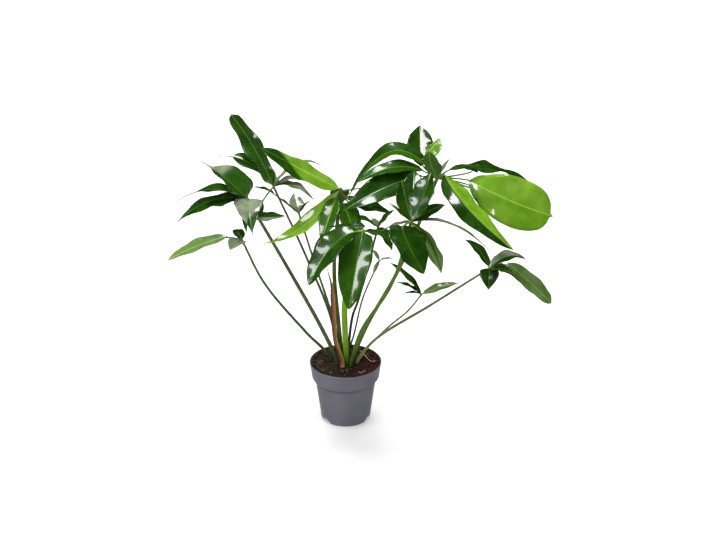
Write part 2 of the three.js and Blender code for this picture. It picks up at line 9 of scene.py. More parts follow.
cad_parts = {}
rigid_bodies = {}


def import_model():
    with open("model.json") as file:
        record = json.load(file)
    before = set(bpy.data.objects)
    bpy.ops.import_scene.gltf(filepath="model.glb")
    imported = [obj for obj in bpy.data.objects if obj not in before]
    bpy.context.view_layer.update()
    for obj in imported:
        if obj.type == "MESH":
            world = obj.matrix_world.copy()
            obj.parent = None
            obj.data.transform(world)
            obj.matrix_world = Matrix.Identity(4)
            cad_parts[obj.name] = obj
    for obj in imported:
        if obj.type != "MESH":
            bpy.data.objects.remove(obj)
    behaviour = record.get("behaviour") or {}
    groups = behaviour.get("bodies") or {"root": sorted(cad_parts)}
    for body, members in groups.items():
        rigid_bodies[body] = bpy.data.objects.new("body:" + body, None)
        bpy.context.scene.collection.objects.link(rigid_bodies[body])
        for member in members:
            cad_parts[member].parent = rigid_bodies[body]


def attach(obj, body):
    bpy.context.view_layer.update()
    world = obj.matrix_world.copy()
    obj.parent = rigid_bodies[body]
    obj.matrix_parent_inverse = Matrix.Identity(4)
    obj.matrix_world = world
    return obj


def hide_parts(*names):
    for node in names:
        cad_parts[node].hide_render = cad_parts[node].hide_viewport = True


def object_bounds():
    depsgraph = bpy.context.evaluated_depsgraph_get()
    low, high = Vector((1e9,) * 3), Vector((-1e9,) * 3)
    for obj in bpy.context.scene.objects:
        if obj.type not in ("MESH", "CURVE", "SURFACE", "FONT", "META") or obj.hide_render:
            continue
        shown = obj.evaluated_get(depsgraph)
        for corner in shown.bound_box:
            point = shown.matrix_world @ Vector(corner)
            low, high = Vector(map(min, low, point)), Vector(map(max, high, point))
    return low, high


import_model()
cad_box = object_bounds()

# Camera: it stands in front of the plant, higher than its leaves, and looks down into the pot. It sees
# the whole plant, from the leaf tips down to the foot of the pot.
CAMERA_PLACE = (0.033, -2.332, 1.403)
CAMERA_TILT_DEG = 67.2
CAMERA_LENS_MM = 50
CAMERA_SENSOR_MM = 36

camera = bpy.data.objects.new("camera", bpy.data.cameras.new("camera"))
camera.location = CAMERA_PLACE
camera.rotation_euler = (math.radians(CAMERA_TILT_DEG), 0, 0)
camera.data.lens = CAMERA_LENS_MM
camera.data.sensor_width = CAMERA_SENSOR_MM
bpy.context.collection.objects.link(camera)
bpy.context.scene.camera = camera

# Floor: a studio sweep of pale matte paper with a painted glow, a little under the plant and more away from
# it, where the lamps don't reach. It lies flat under the pot and curves up behind the plant into a plain
# wall.
FLOOR_HALF_WIDTH = 4.5
FLOOR_FRONT, FLOOR_BACK = -4.5, 3.5
SWEEP_RADIUS, SWEEP_TOP = 2.5, 7
SWEEP_STEPS = 24
FLOOR_WHITE, FLOOR_GRAIN = (246, 246, 245), (250, 250, 250)
FLOOR_GLOW, FAR_GLOW = 0.27, 0.66
GLOW_REACH = (1.4, 3.6)


def paint(colour):
    """A colour as the eye reads it, each of its parts from 0 to 255, turned into what a shader takes."""
    parts = [part / 255 for part in colour]
    return [c / 12.92 if c <= 0.04045 else ((c + 0.055) / 1.055) ** 2.4 for c in parts] + [1]


def new_finish(name, plain):
    """A finish, the node tree that it is wired in, and its main shader with these plain values set."""
    finish = bpy.data.materials.new(name)
    finish.use_nodes = True
    tree = finish.node_tree
    shader = tree.nodes["Principled BSDF"]
    for socket, value in plain.items():
        shader.inputs[socket].default_value = value
    return finish, tree, shader


def feed(tree, socket, value):
    """Wires another node's socket to this one, or sets it to a number or to a colour of three parts."""
    if isinstance(value, bpy.types.NodeSocket):
        tree.links.new(value, socket)
    else:
        socket.default_value = paint(value) if isinstance(value, tuple) else value


def spots(tree, size, detail=3.0, stretch=(1, 1, 1)):
    """Noise whose spots are about this large in metres, drawn out along each axis by stretch."""
    place = tree.nodes.new("ShaderNodeTexCoord")
    scale = tree.nodes.new("ShaderNodeMapping")
    scale.inputs["Scale"].default_value = [1 / (size * part) for part in stretch]
    cloud = tree.nodes.new("ShaderNodeTexNoise")
    cloud.inputs["Scale"].default_value = 1
    cloud.inputs["Detail"].default_value = detail
    tree.links.new(place.outputs["Object"], scale.inputs["Vector"])
    tree.links.new(scale.outputs["Vector"], cloud.inputs["Vector"])
    return cloud.outputs["Fac"]


def between(tree, value, low, high, first=0.0, last=1.0):
    """Runs smoothly from first to last as value runs from low to high."""
    span = tree.nodes.new("ShaderNodeMapRange")
    span.interpolation_type = "SMOOTHSTEP"
    numbers = {"Value": value, "From Min": low, "From Max": high, "To Min": first, "To Max": last}
    for name, number in numbers.items():
        feed(tree, span.inputs[name], number)
    return span.outputs["Result"]


def speckle(tree, size, low=0.3, high=0.7, first=0.0, last=1.0, **kind):
    """Soft patches: runs from first to last as the noise of spots runs from low to high."""
    return between(tree, spots(tree, size, **kind), low, high, first, last)


# The sockets of a Mix node that carry colours
COLOUR_A, COLOUR_B, COLOUR_OUT = 6, 7, 2


def tint(tree, share, first, second):
    """The first colour where share is 0, the second where it is 1."""
    mix = tree.nodes.new("ShaderNodeMix")
    mix.data_type = "RGBA"
    feed(tree, mix.inputs["Factor"], share)
    feed(tree, mix.inputs[COLOUR_A], first)
    feed(tree, mix.inputs[COLOUR_B], second)
    return mix.outputs[COLOUR_OUT]


def measure(tree, name):
    """A number that the mesh keeps at each of its points."""
    kept = tree.nodes.new("ShaderNodeAttribute")
    kept.attribute_name = name
    return kept.outputs["Fac"]


def place_along(tree, axis):
    """Where a point of the object lies along X, Y or Z, in metres."""
    place = tree.nodes.new("ShaderNodeTexCoord")
    parts = tree.nodes.new("ShaderNodeSeparateXYZ")
    tree.links.new(place.outputs["Object"], parts.inputs["Vector"])
    return parts.outputs[axis]


def relief(tree, shader, height, depth):
    """Raises a shader's surface by height, which runs from 0 to 1, times depth in metres."""
    bump = tree.nodes.new("ShaderNodeBump")
    bump.inputs["Distance"].default_value = depth
    tree.links.new(height, bump.inputs["Height"])
    tree.links.new(bump.outputs["Normal"], shader.inputs["Normal"])


def made_of(name, points, faces, finish, smooth=True):
    """A new object of these points and faces, in one finish."""
    mesh = bpy.data.meshes.new(name)
    mesh.from_pydata([tuple(point) for point in points], [], [tuple(face) for face in faces])
    mesh.materials.append(finish)
    mesh.polygons.foreach_set("use_smooth", [smooth] * len(mesh.polygons))
    mesh.update()
    made = bpy.data.objects.new(name, mesh)
    bpy.context.collection.objects.link(made)
    return made


def paper_finish():
    plain = {"Roughness": 0.9, "Specular IOR Level": 0.1, "Emission Color": (1, 1, 1, 1)}
    finish, tree, shader = new_finish("sweep_paper", plain)
    feed(tree, shader.inputs["Base Color"], tint(tree, speckle(tree, 0.4), FLOOR_WHITE, FLOOR_GRAIN))
    away = tree.nodes.new("ShaderNodeVectorMath")
    away.operation = "LENGTH"
    tree.links.new(tree.nodes.new("ShaderNodeTexCoord").outputs["Object"], away.inputs[0])
    # Painted glow: the paper shines by itself, more so away from the plant.
    glow = between(tree, away.outputs["Value"], *GLOW_REACH, FLOOR_GLOW, FAR_GLOW)
    feed(tree, shader.inputs["Emission Strength"], glow)
    return finish


def sweep_profile():
    turns = np.linspace(0, math.pi / 2, SWEEP_STEPS)
    bend = [(FLOOR_BACK + SWEEP_RADIUS * math.sin(t), SWEEP_RADIUS * (1 - math.cos(t))) for t in turns]
    return [(FLOOR_FRONT, 0), *bend, (FLOOR_BACK + SWEEP_RADIUS, SWEEP_TOP)]


profile = sweep_profile()
sweep_points = [(side * FLOOR_HALF_WIDTH, y, z) for side in (-1, 1) for y, z in profile]
sweep_faces = [(i, len(profile) + i, len(profile) + i + 1, i + 1) for i in range(len(profile) - 1)]
floor = made_of("studio_sweep", sweep_points, sweep_faces, paper_finish())

# Room: a plain white dome all round the sweep, a skin with no thickness. Only the camera sees it, so it
# lights nothing and shows in no gloss.
DOME_RADIUS = 16
DOME_RINGS, DOME_SPOKES = 16, 48
DOME_TOP_TILT = 0.001
DOME_WHITE = 0.97


def ring_points(profile, spokes):
    """Rings of points round the upright axis, one for each (radius, height) of a profile."""
    turns = np.linspace(0, 2 * math.pi, spokes, endpoint=False)
    return [(r * math.cos(t), r * math.sin(t), z) for r, z in profile for t in turns]


def ring_faces(rings, spokes):
    """The faces between rings of points, each ring joined to the next one."""
    index = np.arange(rings * spokes).reshape(rings, spokes)
    after = np.roll(index, -1, axis=1)
    return np.stack([index[:-1], index[1:], after[1:], after[:-1]], -1).reshape(-1, 4)


def dome_finish():
    plain = {"Base Color": (0, 0, 0, 1), "Specular IOR Level": 0, "Emission Color": (1, 1, 1, 1),
             "Emission Strength": DOME_WHITE}
    return new_finish("dome_white", plain)[0]


tilts = np.linspace(DOME_TOP_TILT, math.pi, DOME_RINGS, endpoint=False)
dome_profile = [(DOME_RADIUS * math.sin(tilt), DOME_RADIUS * math.cos(tilt)) for tilt in tilts]
dome_points = ring_points(dome_profile, DOME_SPOKES)
dome = made_of("studio_dome", dome_points, ring_faces(DOME_RINGS, DOME_SPOKES), dome_finish())
dome.visible_diffuse = False
dome.visible_glossy = False
dome.visible_shadow = False

# Light: two small bright softboxes, overhead and at the left, give the leaves their white gloss. One at the
# right and two wide ones fill in and light the sweep. They, the sweep and the room's even light are kept
# out of the gloss, and the side boxes light the plant alone, so that they cast no shadow.
SOFTBOXES = [
    {"name": "overhead", "place": (-0.23, -0.50, 2.43), "size": (0.7, 0.6), "watts": 26, "gloss": True},
    {"name": "left_strip", "place": (-1.51, -0.94, 1.61), "size": (0.35, 1.5), "watts": 22, "gloss": True},
    {"name": "right_strip", "place": (1.22, -0.48, 2.30), "size": (0.35, 0.6), "watts": 9, "gloss": False},
    {"name": "front_fill", "place": (1.9, -2.7, 0.7), "size": (3, 1.5), "watts": 14, "gloss": False},
    {"name": "backdrop", "place": (0, 2.6, 4.2), "size": (5, 2.5), "watts": 230, "gloss": False},
]
LIT_POINT = Vector((0.03, -0.05, 0.5))
BACKDROP_POINT = Vector((0, 4.8, 0.6))
ROOM_LIGHT = 0.32

sweep_left_out = bpy.data.collections.new("sweep_left_out")
sweep_left_out.objects.link(floor)
sweep_left_out.collection_objects[0].light_linking.link_state = "EXCLUDE"
for box in SOFTBOXES:
    lamp = bpy.data.objects.new("softbox_" + box["name"], bpy.data.lights.new(box["name"], "AREA"))
    lamp.data.shape = "RECTANGLE"
    lamp.data.size, lamp.data.size_y = box["size"]
    lamp.data.energy = box["watts"]
    lamp.visible_glossy = box["gloss"]
    lamp.location = box["place"]
    aim = BACKDROP_POINT if box["name"] == "backdrop" else LIT_POINT
    lamp.rotation_euler = (aim - lamp.location).to_track_quat("-Z", "Y").to_euler()
    if "strip" in box["name"]:
        lamp.light_linking.receiver_collection = sweep_left_out
    bpy.context.collection.objects.link(lamp)
floor.visible_glossy = False

room = bpy.data.worlds.new("studio_room")
room.use_nodes = True
room.node_tree.nodes["Background"].inputs["Color"].default_value = (1, 1, 1, 1)
room.node_tree.nodes["Background"].inputs["Strength"].default_value = ROOM_LIGHT
room.cycles_visibility.glossy = False
bpy.context.scene.world = room
bpy.context.scene.view_settings.view_transform = "Standard"

# Pot: one injection-moulded grower pot of slate-grey plastic. Its rim band stands out over a plain wall
# that narrows to the foot, and three drainage channels are pressed up into its floor.
POT_HEIGHT = 0.163
RIM_RADIUS = 0.095
BAND_FOOT_RADIUS, BAND_FOOT_Z = 0.0894, 0.123
NECK_RADIUS, NECK_Z = 0.0802, 0.110
FOOT_RADIUS, FOOT_ROUND = 0.066, 0.0025
POT_WALL = 0.002
POT_SEGMENTS = 144
CHANNEL_ANGLES = (95, 215, 335)
CHANNEL_HALF_WIDTH = 0.018
CHANNEL_HEIGHT = 0.010
CHANNEL_REACH = (0.030, 0.082)
DRAIN_RADIUS, DRAIN_REACH = 0.004, 0.047
DRAIN_SIDES, CHANNEL_SIDES = 32, 36
NEAR_AXIS = 0.00005
POT_OUTSIDE = [
    (NEAR_AXIS, 0), (FOOT_RADIUS - FOOT_ROUND, 0), (FOOT_RADIUS - 0.0008, 0.0006),
    (FOOT_RADIUS, FOOT_ROUND), (0.0727, 0.053), (NECK_RADIUS, NECK_Z - 0.001), (0.0808, NECK_Z + 0.0005),
    (0.0878, 0.1190), (0.0889, 0.1207), (BAND_FOOT_RADIUS, BAND_FOOT_Z), (0.0915, 0.1380),
    (0.0944, 0.1592), (0.0949, 0.1600), (RIM_RADIUS, 0.1614), (0.0948, 0.1624), (0.0942, POT_HEIGHT),
]
POT_INSIDE = [
    (0.0934, POT_HEIGHT), (0.0928, 0.1625), (0.0925, 0.1600), (BAND_FOOT_RADIUS - POT_WALL, BAND_FOOT_Z),
    (NECK_RADIUS - POT_WALL, NECK_Z), (FOOT_RADIUS - POT_WALL, 0.0045),
    (FOOT_RADIUS - 2 * POT_WALL, POT_WALL), (NEAR_AXIS, POT_WALL),
]
SMOOTH_UP_TO_DEG = 32
SLATE, SLATE_CLOUD = (110, 109, 119), (103, 102, 113)
PAINTED_BAND_SHADOW, FOOT_DUST = (46, 46, 52), (128, 122, 116)


def turned(profile, segments):
    """The points and faces of a closed profile of (radius, height) turned round the upright axis."""
    points = ring_points(profile, segments)
    faces = ring_faces(len(profile) + 1, segments) % len(points)
    return points, faces[:, [0, 3, 2, 1]].tolist()


def channel(angle, grow):
    """The rounded tunnel of one drainage channel, wider all round by grow."""
    half_width = CHANNEL_HALF_WIDTH + grow
    near, far = CHANNEL_REACH[0] - grow, CHANNEL_REACH[1]
    turn = math.radians(angle)
    shape = bmesh.new()
    bmesh.ops.create_uvsphere(shape, u_segments=CHANNEL_SIDES, v_segments=CHANNEL_SIDES // 2, radius=1)
    for point in shape.verts:
        stretch = far - near - 2 * half_width if point.co.x > 1e-4 else 0
        x = near + half_width * (1 + point.co.x) + stretch
        point.co = (x, point.co.y * half_width, point.co.z * (CHANNEL_HEIGHT + grow))
        x, y, z = point.co
        point.co = (x * math.cos(turn) - y * math.sin(turn), x * math.sin(turn) + y * math.cos(turn), z)
    mesh = bpy.data.meshes.new("channel")
    shape.to_mesh(mesh)
    shape.free()
    return bpy.data.objects.new("channel", mesh)


def body_of(name, profile, segments, at=(0, 0)):
    """A closed object turned from a profile of (radius, height), its middle at a place on the ground."""
    points, faces = turned(profile, segments)
    points = [(x + at[0], y + at[1], z) for x, y, z in points]
    mesh = bpy.data.meshes.new(name)
    mesh.from_pydata(points, [], faces)
    return bpy.data.objects.new(name, mesh)


def carve(target, tool, how):
    """Joins the tool to the target, or cuts the target by it, for good."""
    scene_objects = bpy.context.collection.objects
    for thing in (target, tool):
        if thing.name not in scene_objects:
            scene_objects.link(thing)
    cut = target.modifiers.new("cut", "BOOLEAN")
    cut.operation = how
    cut.object = tool
    cut.solver = "MANIFOLD"
    seen = target.evaluated_get(bpy.context.evaluated_depsgraph_get())
    target.data = bpy.data.meshes.new_from_object(seen)
    target.modifiers.clear()
    bpy.data.objects.remove(tool)


def cut_channels(pot):
    """Presses the channels into the pot's floor and drills one drain hole through each."""
    whole = POT_OUTSIDE + [(NEAR_AXIS, POT_HEIGHT)]
    for angle in CHANNEL_ANGLES:
        shell = channel(angle, POT_WALL)
        carve(shell, body_of("outer", whole, POT_SEGMENTS), "INTERSECT")
        carve(pot, shell, "UNION")
    for angle in CHANNEL_ANGLES:
        carve(pot, channel(angle, 0), "DIFFERENCE")
        turn = math.radians(angle)
        middle = (DRAIN_REACH * math.cos(turn), DRAIN_REACH * math.sin(turn))
        bore = [(NEAR_AXIS, -0.01), (DRAIN_RADIUS, -0.01), (DRAIN_RADIUS, 0.03), (NEAR_AXIS, 0.03)]
        carve(pot, body_of("bore", bore, DRAIN_SIDES, middle), "DIFFERENCE")


def plastic_finish():
    """Smooth satin plastic, a little cloudy, darkened by a painted shadow under its band, and dusty at its
    foot.
    """
    finish, tree, shader = new_finish("slate_plastic", {"Sheen Weight": 0.35, "Sheen Roughness": 0.3})
    body = tint(tree, speckle(tree, 0.03, 0.3, 0.75), SLATE, SLATE_CLOUD)
    height = place_along(tree, "Z")
    # Painted shadow: a dark strip just under the rim band, fading out above and below it.
    shade = between(tree, height, NECK_Z - 0.004, NECK_Z + 0.002, 0.0, 0.65)
    painted_band_shadow = tint(tree, shade, body, PAINTED_BAND_SHADOW)
    band = tint(tree, between(tree, height, NECK_Z + 0.003, NECK_Z + 0.008), painted_band_shadow, body)
    dust = between(tree, height, 0.012, 0.0, 0.0, 0.3)
    feed(tree, shader.inputs["Base Color"], tint(tree, dust, band, FOOT_DUST))
    feed(tree, shader.inputs["Roughness"], speckle(tree, 0.02, first=0.40, last=0.50))
    relief(tree, shader, spots(tree, 0.0012), 0.00005)
    return finish


pot = made_of("grower_pot", *turned(POT_OUTSIDE + POT_INSIDE, POT_SEGMENTS), plastic_finish())
cut_channels(pot)
pot.data.polygons.foreach_set("use_smooth", [True] * len(pot.data.polygons))
pot.data.set_sharp_from_angle(angle=math.radians(SMOOTH_UP_TO_DEG))
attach(pot, "root")
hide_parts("pot")

# Potting mix: peat and bark fill the pot to its rim, heaped up a little towards the back. The ball is dark
# and damp, crumbly on top, and a little redder at the right.
MIX_TOP = 0.1605
MIX_HEAP = 0.005
MIX_CLEARANCE = 0.0008
MIX_EDGE = 0.0915
MIX_CENTRE = 0.000366
MIX_FLOOR = 0.014
MIX_RINGS, MIX_SPOKES = 70, 220
SWELL_HEIGHT, CLOD_HEIGHT, CLODS_PER_METRE = 0.0006, 0.0014, 120
RIM_SLOPE_FROM, RIM_SLOPE = 0.084, 0.1875
CRUMB_COUNT, CRUMB_SIZES, CRUMB_FLATNESS, CRUMB_LIFT = 2800, (0.0006, 0.0024), (0.5, 1), 0.1
CHIP_COUNT, CHIP_SIZES, CHIP_FLATNESS, CHIP_LIFT = 320, (0.0016, 0.0054), (0.25, 0.6), 0.0
CRUMB_REACH = 0.0885
SMALL_ONES, LUMPINESS = 2.5, 0.28
DAMP, PEAT = (16, 11, 9), (36, 25, 20)
PEAT_RED, PEAT_OLIVE, BARK = (76, 36, 28), (70, 66, 44), (112, 80, 60)
rng = np.random.default_rng(7)


def ease(value):
    """Rises gently from 0 to 1 as value does."""
    value = np.clip(value, 0, 1)
    return value * value * (3 - 2 * value)


def mix_height(x, y):
    """How high the top of the mix stands at a place, swelling gently, with clods and small pits."""
    swell = math.sin(x / 0.011 + 1) * math.cos(y / 0.013 - 0.6) + 0.6 * math.sin((x + y) / 0.007)
    clods = noise.fractal(Vector((x, y, 0.3)) * CLODS_PER_METRE, 1.0, 2.0, 5)
    edge = RIM_SLOPE * max(0.0, math.hypot(x, y) - RIM_SLOPE_FROM)
    heap = MIX_HEAP * ease((y + RIM_RADIUS) / (2 * RIM_RADIUS))
    return MIX_TOP + heap + SWELL_HEIGHT * swell + CLOD_HEIGHT * clods - edge


def mix_finish():
    finish, tree, shader = new_finish("damp_mix", {"Roughness": 0.85, "Specular IOR Level": 0.3})
    dark = tint(tree, speckle(tree, 0.004, 0.35), DAMP, PEAT)
    across = place_along(tree, "X")
    olive = tint(tree, speckle(tree, 0.008, 0.45, 0.6), dark, PEAT_OLIVE)
    peat = tint(tree, between(tree, across, -0.005, -0.06, 0.0, 0.7), dark, olive)
    bark = tint(tree, between(tree, measure(tree, "shade"), 0.55, 1.0), peat, BARK)
    reddish = tint(tree, speckle(tree, 0.009, 0.3, 0.6), bark, PEAT_RED)
    to_right = between(tree, across, 0.005, 0.06, 0.0, 0.8)
    feed(tree, shader.inputs["Base Color"], tint(tree, to_right, bark, reddish))
    relief(tree, shader, spots(tree, 0.0009, detail=6), 0.0006)
    return finish


def mix_ball():
    """A closed ball of mix: rings over the top, then down inside the pot's wall and across its floor."""
    radii = np.linspace(MIX_CENTRE, MIX_EDGE, MIX_RINGS)
    points = [(x, y, mix_height(x, y)) for x, y, _ in ring_points([(r, 0) for r in radii], MIX_SPOKES)]
    gap = POT_WALL + MIX_CLEARANCE
    sides = [(BAND_FOOT_RADIUS - gap, BAND_FOOT_Z), (NECK_RADIUS - gap, NECK_Z),
             (FOOT_RADIUS - gap - 0.003, MIX_FLOOR), (MIX_CENTRE, MIX_FLOOR)]
    points += ring_points(sides, MIX_SPOKES)
    first, last = range(MIX_SPOKES), reversed(range(len(points) - MIX_SPOKES, len(points)))
    return points, [*ring_faces(MIX_RINGS + len(sides), MIX_SPOKES), tuple(first), tuple(last)]


def lump_shape(roundness):
    """The points and faces of a small ball, as arrays."""
    shape = bmesh.new()
    bmesh.ops.create_icosphere(shape, subdivisions=roundness, radius=1)
    points = np.array([point.co[:] for point in shape.verts])
    faces = np.array([[corner.index for corner in face.verts] for face in shape.faces])
    shape.free()
    return points, faces


def random_turn():
    """A random rotation, as a matrix."""
    axes, _ = np.linalg.qr(rng.normal(size=(3, 3)))
    return axes


def scattered(count, sizes, flatness, lift, roundness):
    """Lumps of a few millimetres scattered over the mix, each of its own shape, turn and shade."""
    ball, ball_faces = lump_shape(roundness)
    lumps = []
    while len(lumps) < count:
        x, y = rng.uniform(-CRUMB_REACH, CRUMB_REACH, 2)
        if math.hypot(x, y) > CRUMB_REACH:
            continue
        size = sizes[0] + (sizes[1] - sizes[0]) * rng.random() ** SMALL_ONES
        lump = ball * (1 + LUMPINESS * rng.normal(size=(len(ball), 1)).clip(-1.5, 1.5))
        lump = (lump * (1, rng.uniform(0.5, 1), rng.uniform(*flatness))) @ random_turn() * size
        lump = lump + (x, y, mix_height(x, y) + lift * size)
        lumps.append((lump, ball_faces, {"shade": np.full(len(ball), rng.random())}))
    return lumps


def set_measure(made, name, values):
    """Keeps one number for each point of a mesh, for its finish to read."""
    made.data.attributes.new(name, "FLOAT", "POINT").data.foreach_set("value", np.asarray(values, float))


def joined(name, parts, finish, smooth=True):
    """One object of many closed parts, each with its points, its faces, and the numbers that it keeps at its
    points. A part keeps 0 for a number that it lacks."""
    points, faces = [], []
    for part_points, part_faces, _ in parts:
        faces += [tuple(int(corner) + len(points) for corner in face) for face in part_faces]
        points += list(part_points)
    made = made_of(name, points, faces, finish, smooth)
    for key in sorted({key for _, _, kept in parts for key in kept}):
        values = [kept.get(key, np.zeros(len(part_points))) for part_points, _, kept in parts]
        set_measure(made, key, np.concatenate(values))
    return made


damp_mix = mix_finish()
mix = made_of("potting_mix_ball", *mix_ball(), damp_mix)
set_measure(mix, "shade", [0.3] * len(mix.data.vertices))
for name, lumps in {
    "mix_crumbs": scattered(CRUMB_COUNT, CRUMB_SIZES, CRUMB_FLATNESS, CRUMB_LIFT, 1),
    "bark_chips": scattered(CHIP_COUNT, CHIP_SIZES, CHIP_FLATNESS, CHIP_LIFT, 2),
}.items():
    crumbs = joined(name, lumps, damp_mix, smooth=name == "bark_chips")
    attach(crumbs, "root")
    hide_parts("soil")
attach(mix, "root")
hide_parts("soil")

# Loose on the mix: pale and brown root fibres lie about, with a few pale specks of grit. At the right, two
# pinkish roots curl out of the mix behind the stalks, and a short one lies in front of them.
FIBRE_COUNT, FIBRE_STEPS, FIBRE_CURL = 130, 7, 90
FIBRE_RADIUS, FIBRE_LENGTH = (0.00012, 0.00026), (0.005, 0.019)
FIBRE_REACH, FIBRE_LIFT, FIBRE_ARCH = 0.06, 0.0009, 0.0012
FIBRE_TIP, FIBRE_TAPER = 0.35, 3
OFF_ALL_ROOTS = (-0.13, -0.21, -1.0)
# Added to each step of a bar's route, so that a step of no length has a direction too
TINY_RISE = (0, 0, 1e-9)
GRIT_PLACES = [
    (-0.062, -0.0076), (-0.0066, -0.0597), (0.0043, -0.0480), (-0.0371, -0.0643), (0.0627, 0.0440),
]
GRIT_SIZES, GRIT_LUMPINESS, GRIT_LIFT = (0.0009, 0.0016), 0.12, 0.0012
BACK_ROOT = [
    (0.037, 0.058), (0.041, 0.0465), (0.054, 0.0206), (0.062, 0.001), (0.070, -0.0076), (0.0766, -0.005),
    (0.0805, 0.003),
]
THIN_ROOT = [(0.0465, 0.052), (0.057, 0.032), (0.066, 0.012), (0.074, 0.0036), (0.081, 0.012)]
FRONT_ROOT = [(0.033, -0.0543), (0.0395, -0.0651), (0.046, -0.060), (0.052, -0.046)]
# Each root's places on the mix, steps, radius and sides
ROOTS = [(BACK_ROOT, 60, 0.0011, 10), (THIN_ROOT, 40, 0.0006, 8), (FRONT_ROOT, 30, 0.0006, 8)]
FIBRE_SHADES, ROOT_SHADES = (0, 0.7), (1, 0.8, 0.95)
ROOT_LIFT, ROOT_END_SUNK = 0.0022, 0.0008
ROOT_BROWN, ROOT_TAN, ROOT_PINK, ROOT_DIRT = (70, 42, 28), (134, 96, 62), (240, 198, 178), (90, 56, 40)
GRIT_PALE, GRIT_DIRT = (222, 214, 200), (150, 130, 108)


def fine_route(places, steps):
    """A smooth, even curve through places, as steps + 1 points."""
    places = np.array(places, float)
    ends = np.vstack([2 * places[0] - places[1], places, 2 * places[-1] - places[-2]])
    route = []
    for share in np.linspace(0, len(places) - 1, steps + 1):
        i = min(int(share), len(places) - 2)
        t = share - i
        a, b, c, d = ends[i : i + 4]
        before, here, after = (math.sqrt(np.linalg.norm(leg)) for leg in (b - a, c - b, d - c))
        leave = ((b - a) / before - (c - a) / (before + here) + (c - b) / here) * here
        reach = ((c - b) / here - (d - b) / (here + after) + (d - c) / after) * here
        square, cube = 3 * (c - b) - 2 * leave - reach, 2 * (b - c) + leave + reach
        route.append(b + leave * t + square * t**2 + cube * t**3)
    return np.array(route)


def unit(rows):
    """Each row of vectors made one long."""
    return rows / np.linalg.norm(rows, axis=-1, keepdims=True)


def bar(route, radius, across=(0, 1, 0)):
    """A closed round bar along a route, with a radius for each point and side. The route never runs along
    the direction across."""
    along = unit(np.gradient(route, axis=0) + TINY_RISE)
    side = unit(np.cross(across, along))
    out = np.cross(side, along)
    rings, sides = radius.shape
    turns = np.linspace(0, 2 * math.pi, sides, endpoint=False)
    round_about = np.cos(turns)[:, None] * side[:, None] + np.sin(turns)[:, None] * out[:, None]
    points = (route[:, None] + round_about * radius[..., None]).reshape(-1, 3)
    start, end = range(sides), reversed(range(len(points) - sides, len(points)))
    return points, [*ring_faces(rings, sides), tuple(start), tuple(end)]


def thread(route, radius, sides):
    """A thin root or fibre along a route, finer at both ends."""
    share = np.linspace(0, 1, len(route))
    taper = np.minimum(1, FIBRE_TIP + FIBRE_TAPER * np.minimum(share, 1 - share))
    return bar(np.array(route), np.outer(radius * taper, np.ones(sides)), OFF_ALL_ROOTS)


def root(places, steps, radius, sides):
    """A root that lies over the mix through these places, its ends sunk in."""
    share = np.linspace(0, 1, steps + 1)
    lift = ROOT_LIFT * np.minimum(1, 6 * np.minimum(share, 1 - share)) - ROOT_END_SUNK
    route = [(x, y, mix_height(x, y) + rise) for (x, y), rise in zip(fine_route(places, steps), lift)]
    return thread(route, radius, sides)


def fibre():
    """One fibre, curled over the mix from a random place."""
    x, y = rng.uniform(-FIBRE_REACH, FIBRE_REACH, 2)
    heading, curl = rng.uniform(0, 2 * math.pi), rng.normal(0, FIBRE_CURL)
    step = rng.uniform(*FIBRE_LENGTH) / FIBRE_STEPS
    route = []
    for i in range(FIBRE_STEPS):
        lift = FIBRE_LIFT + FIBRE_ARCH * math.sin(math.pi * i / (FIBRE_STEPS - 1)) * rng.random()
        route.append((x, y, mix_height(x, y) + lift))
        x += step * math.cos(heading)
        y += step * math.sin(heading)
        heading += curl * step
    return thread(route, rng.uniform(*FIBRE_RADIUS), 4)


def root_finish():
    finish, tree, shader = new_finish("dry_root", {"Roughness": 0.6})
    shade = measure(tree, "shade")
    brown = tint(tree, between(tree, shade, 0.0, 0.6), ROOT_BROWN, ROOT_TAN)
    pale = tint(tree, between(tree, shade, 0.75, 1.0), brown, ROOT_PINK)
    dirt = speckle(tree, 0.003, 0.3, 0.8, 0.0, 0.3)
    feed(tree, shader.inputs["Base Color"], tint(tree, dirt, pale, ROOT_DIRT))
    relief(tree, shader, spots(tree, 0.0006), 0.0001)
    return finish


def grit(x, y):
    """One rounded grain of grit that lies on the mix."""
    ball, ball_faces = lump_shape(2)
    lump = ball * (1 + GRIT_LUMPINESS * rng.normal(size=(len(ball), 1))) * rng.uniform(*GRIT_SIZES)
    return lump + (x, y, mix_height(x, y) + GRIT_LIFT), ball_faces


def grit_finish():
    finish, tree, shader = new_finish("pale_grit", {"Roughness": 0.8})
    dirt = speckle(tree, 0.0008, 0.4, 0.7, 0.0, 0.6)
    feed(tree, shader.inputs["Base Color"], tint(tree, dirt, GRIT_PALE, GRIT_DIRT))
    relief(tree, shader, spots(tree, 0.0004), 0.0002)
    return finish


threads = [fibre() for _ in range(FIBRE_COUNT)] + [root(*sizes) for sizes in ROOTS]
shades = [*rng.uniform(*FIBRE_SHADES, FIBRE_COUNT), *ROOT_SHADES]
shaded = [(points, faces, {"shade": np.full(len(points), shade)})
          for (points, faces), shade in zip(threads, shades)]
roots = joined("loose_roots", shaded, root_finish())
specks = joined("grit_specks", [(*grit(x, y), {}) for x, y in GRIT_PLACES], grit_finish())
for loose in (roots, specks):
    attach(loose, "root")
    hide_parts("soil")

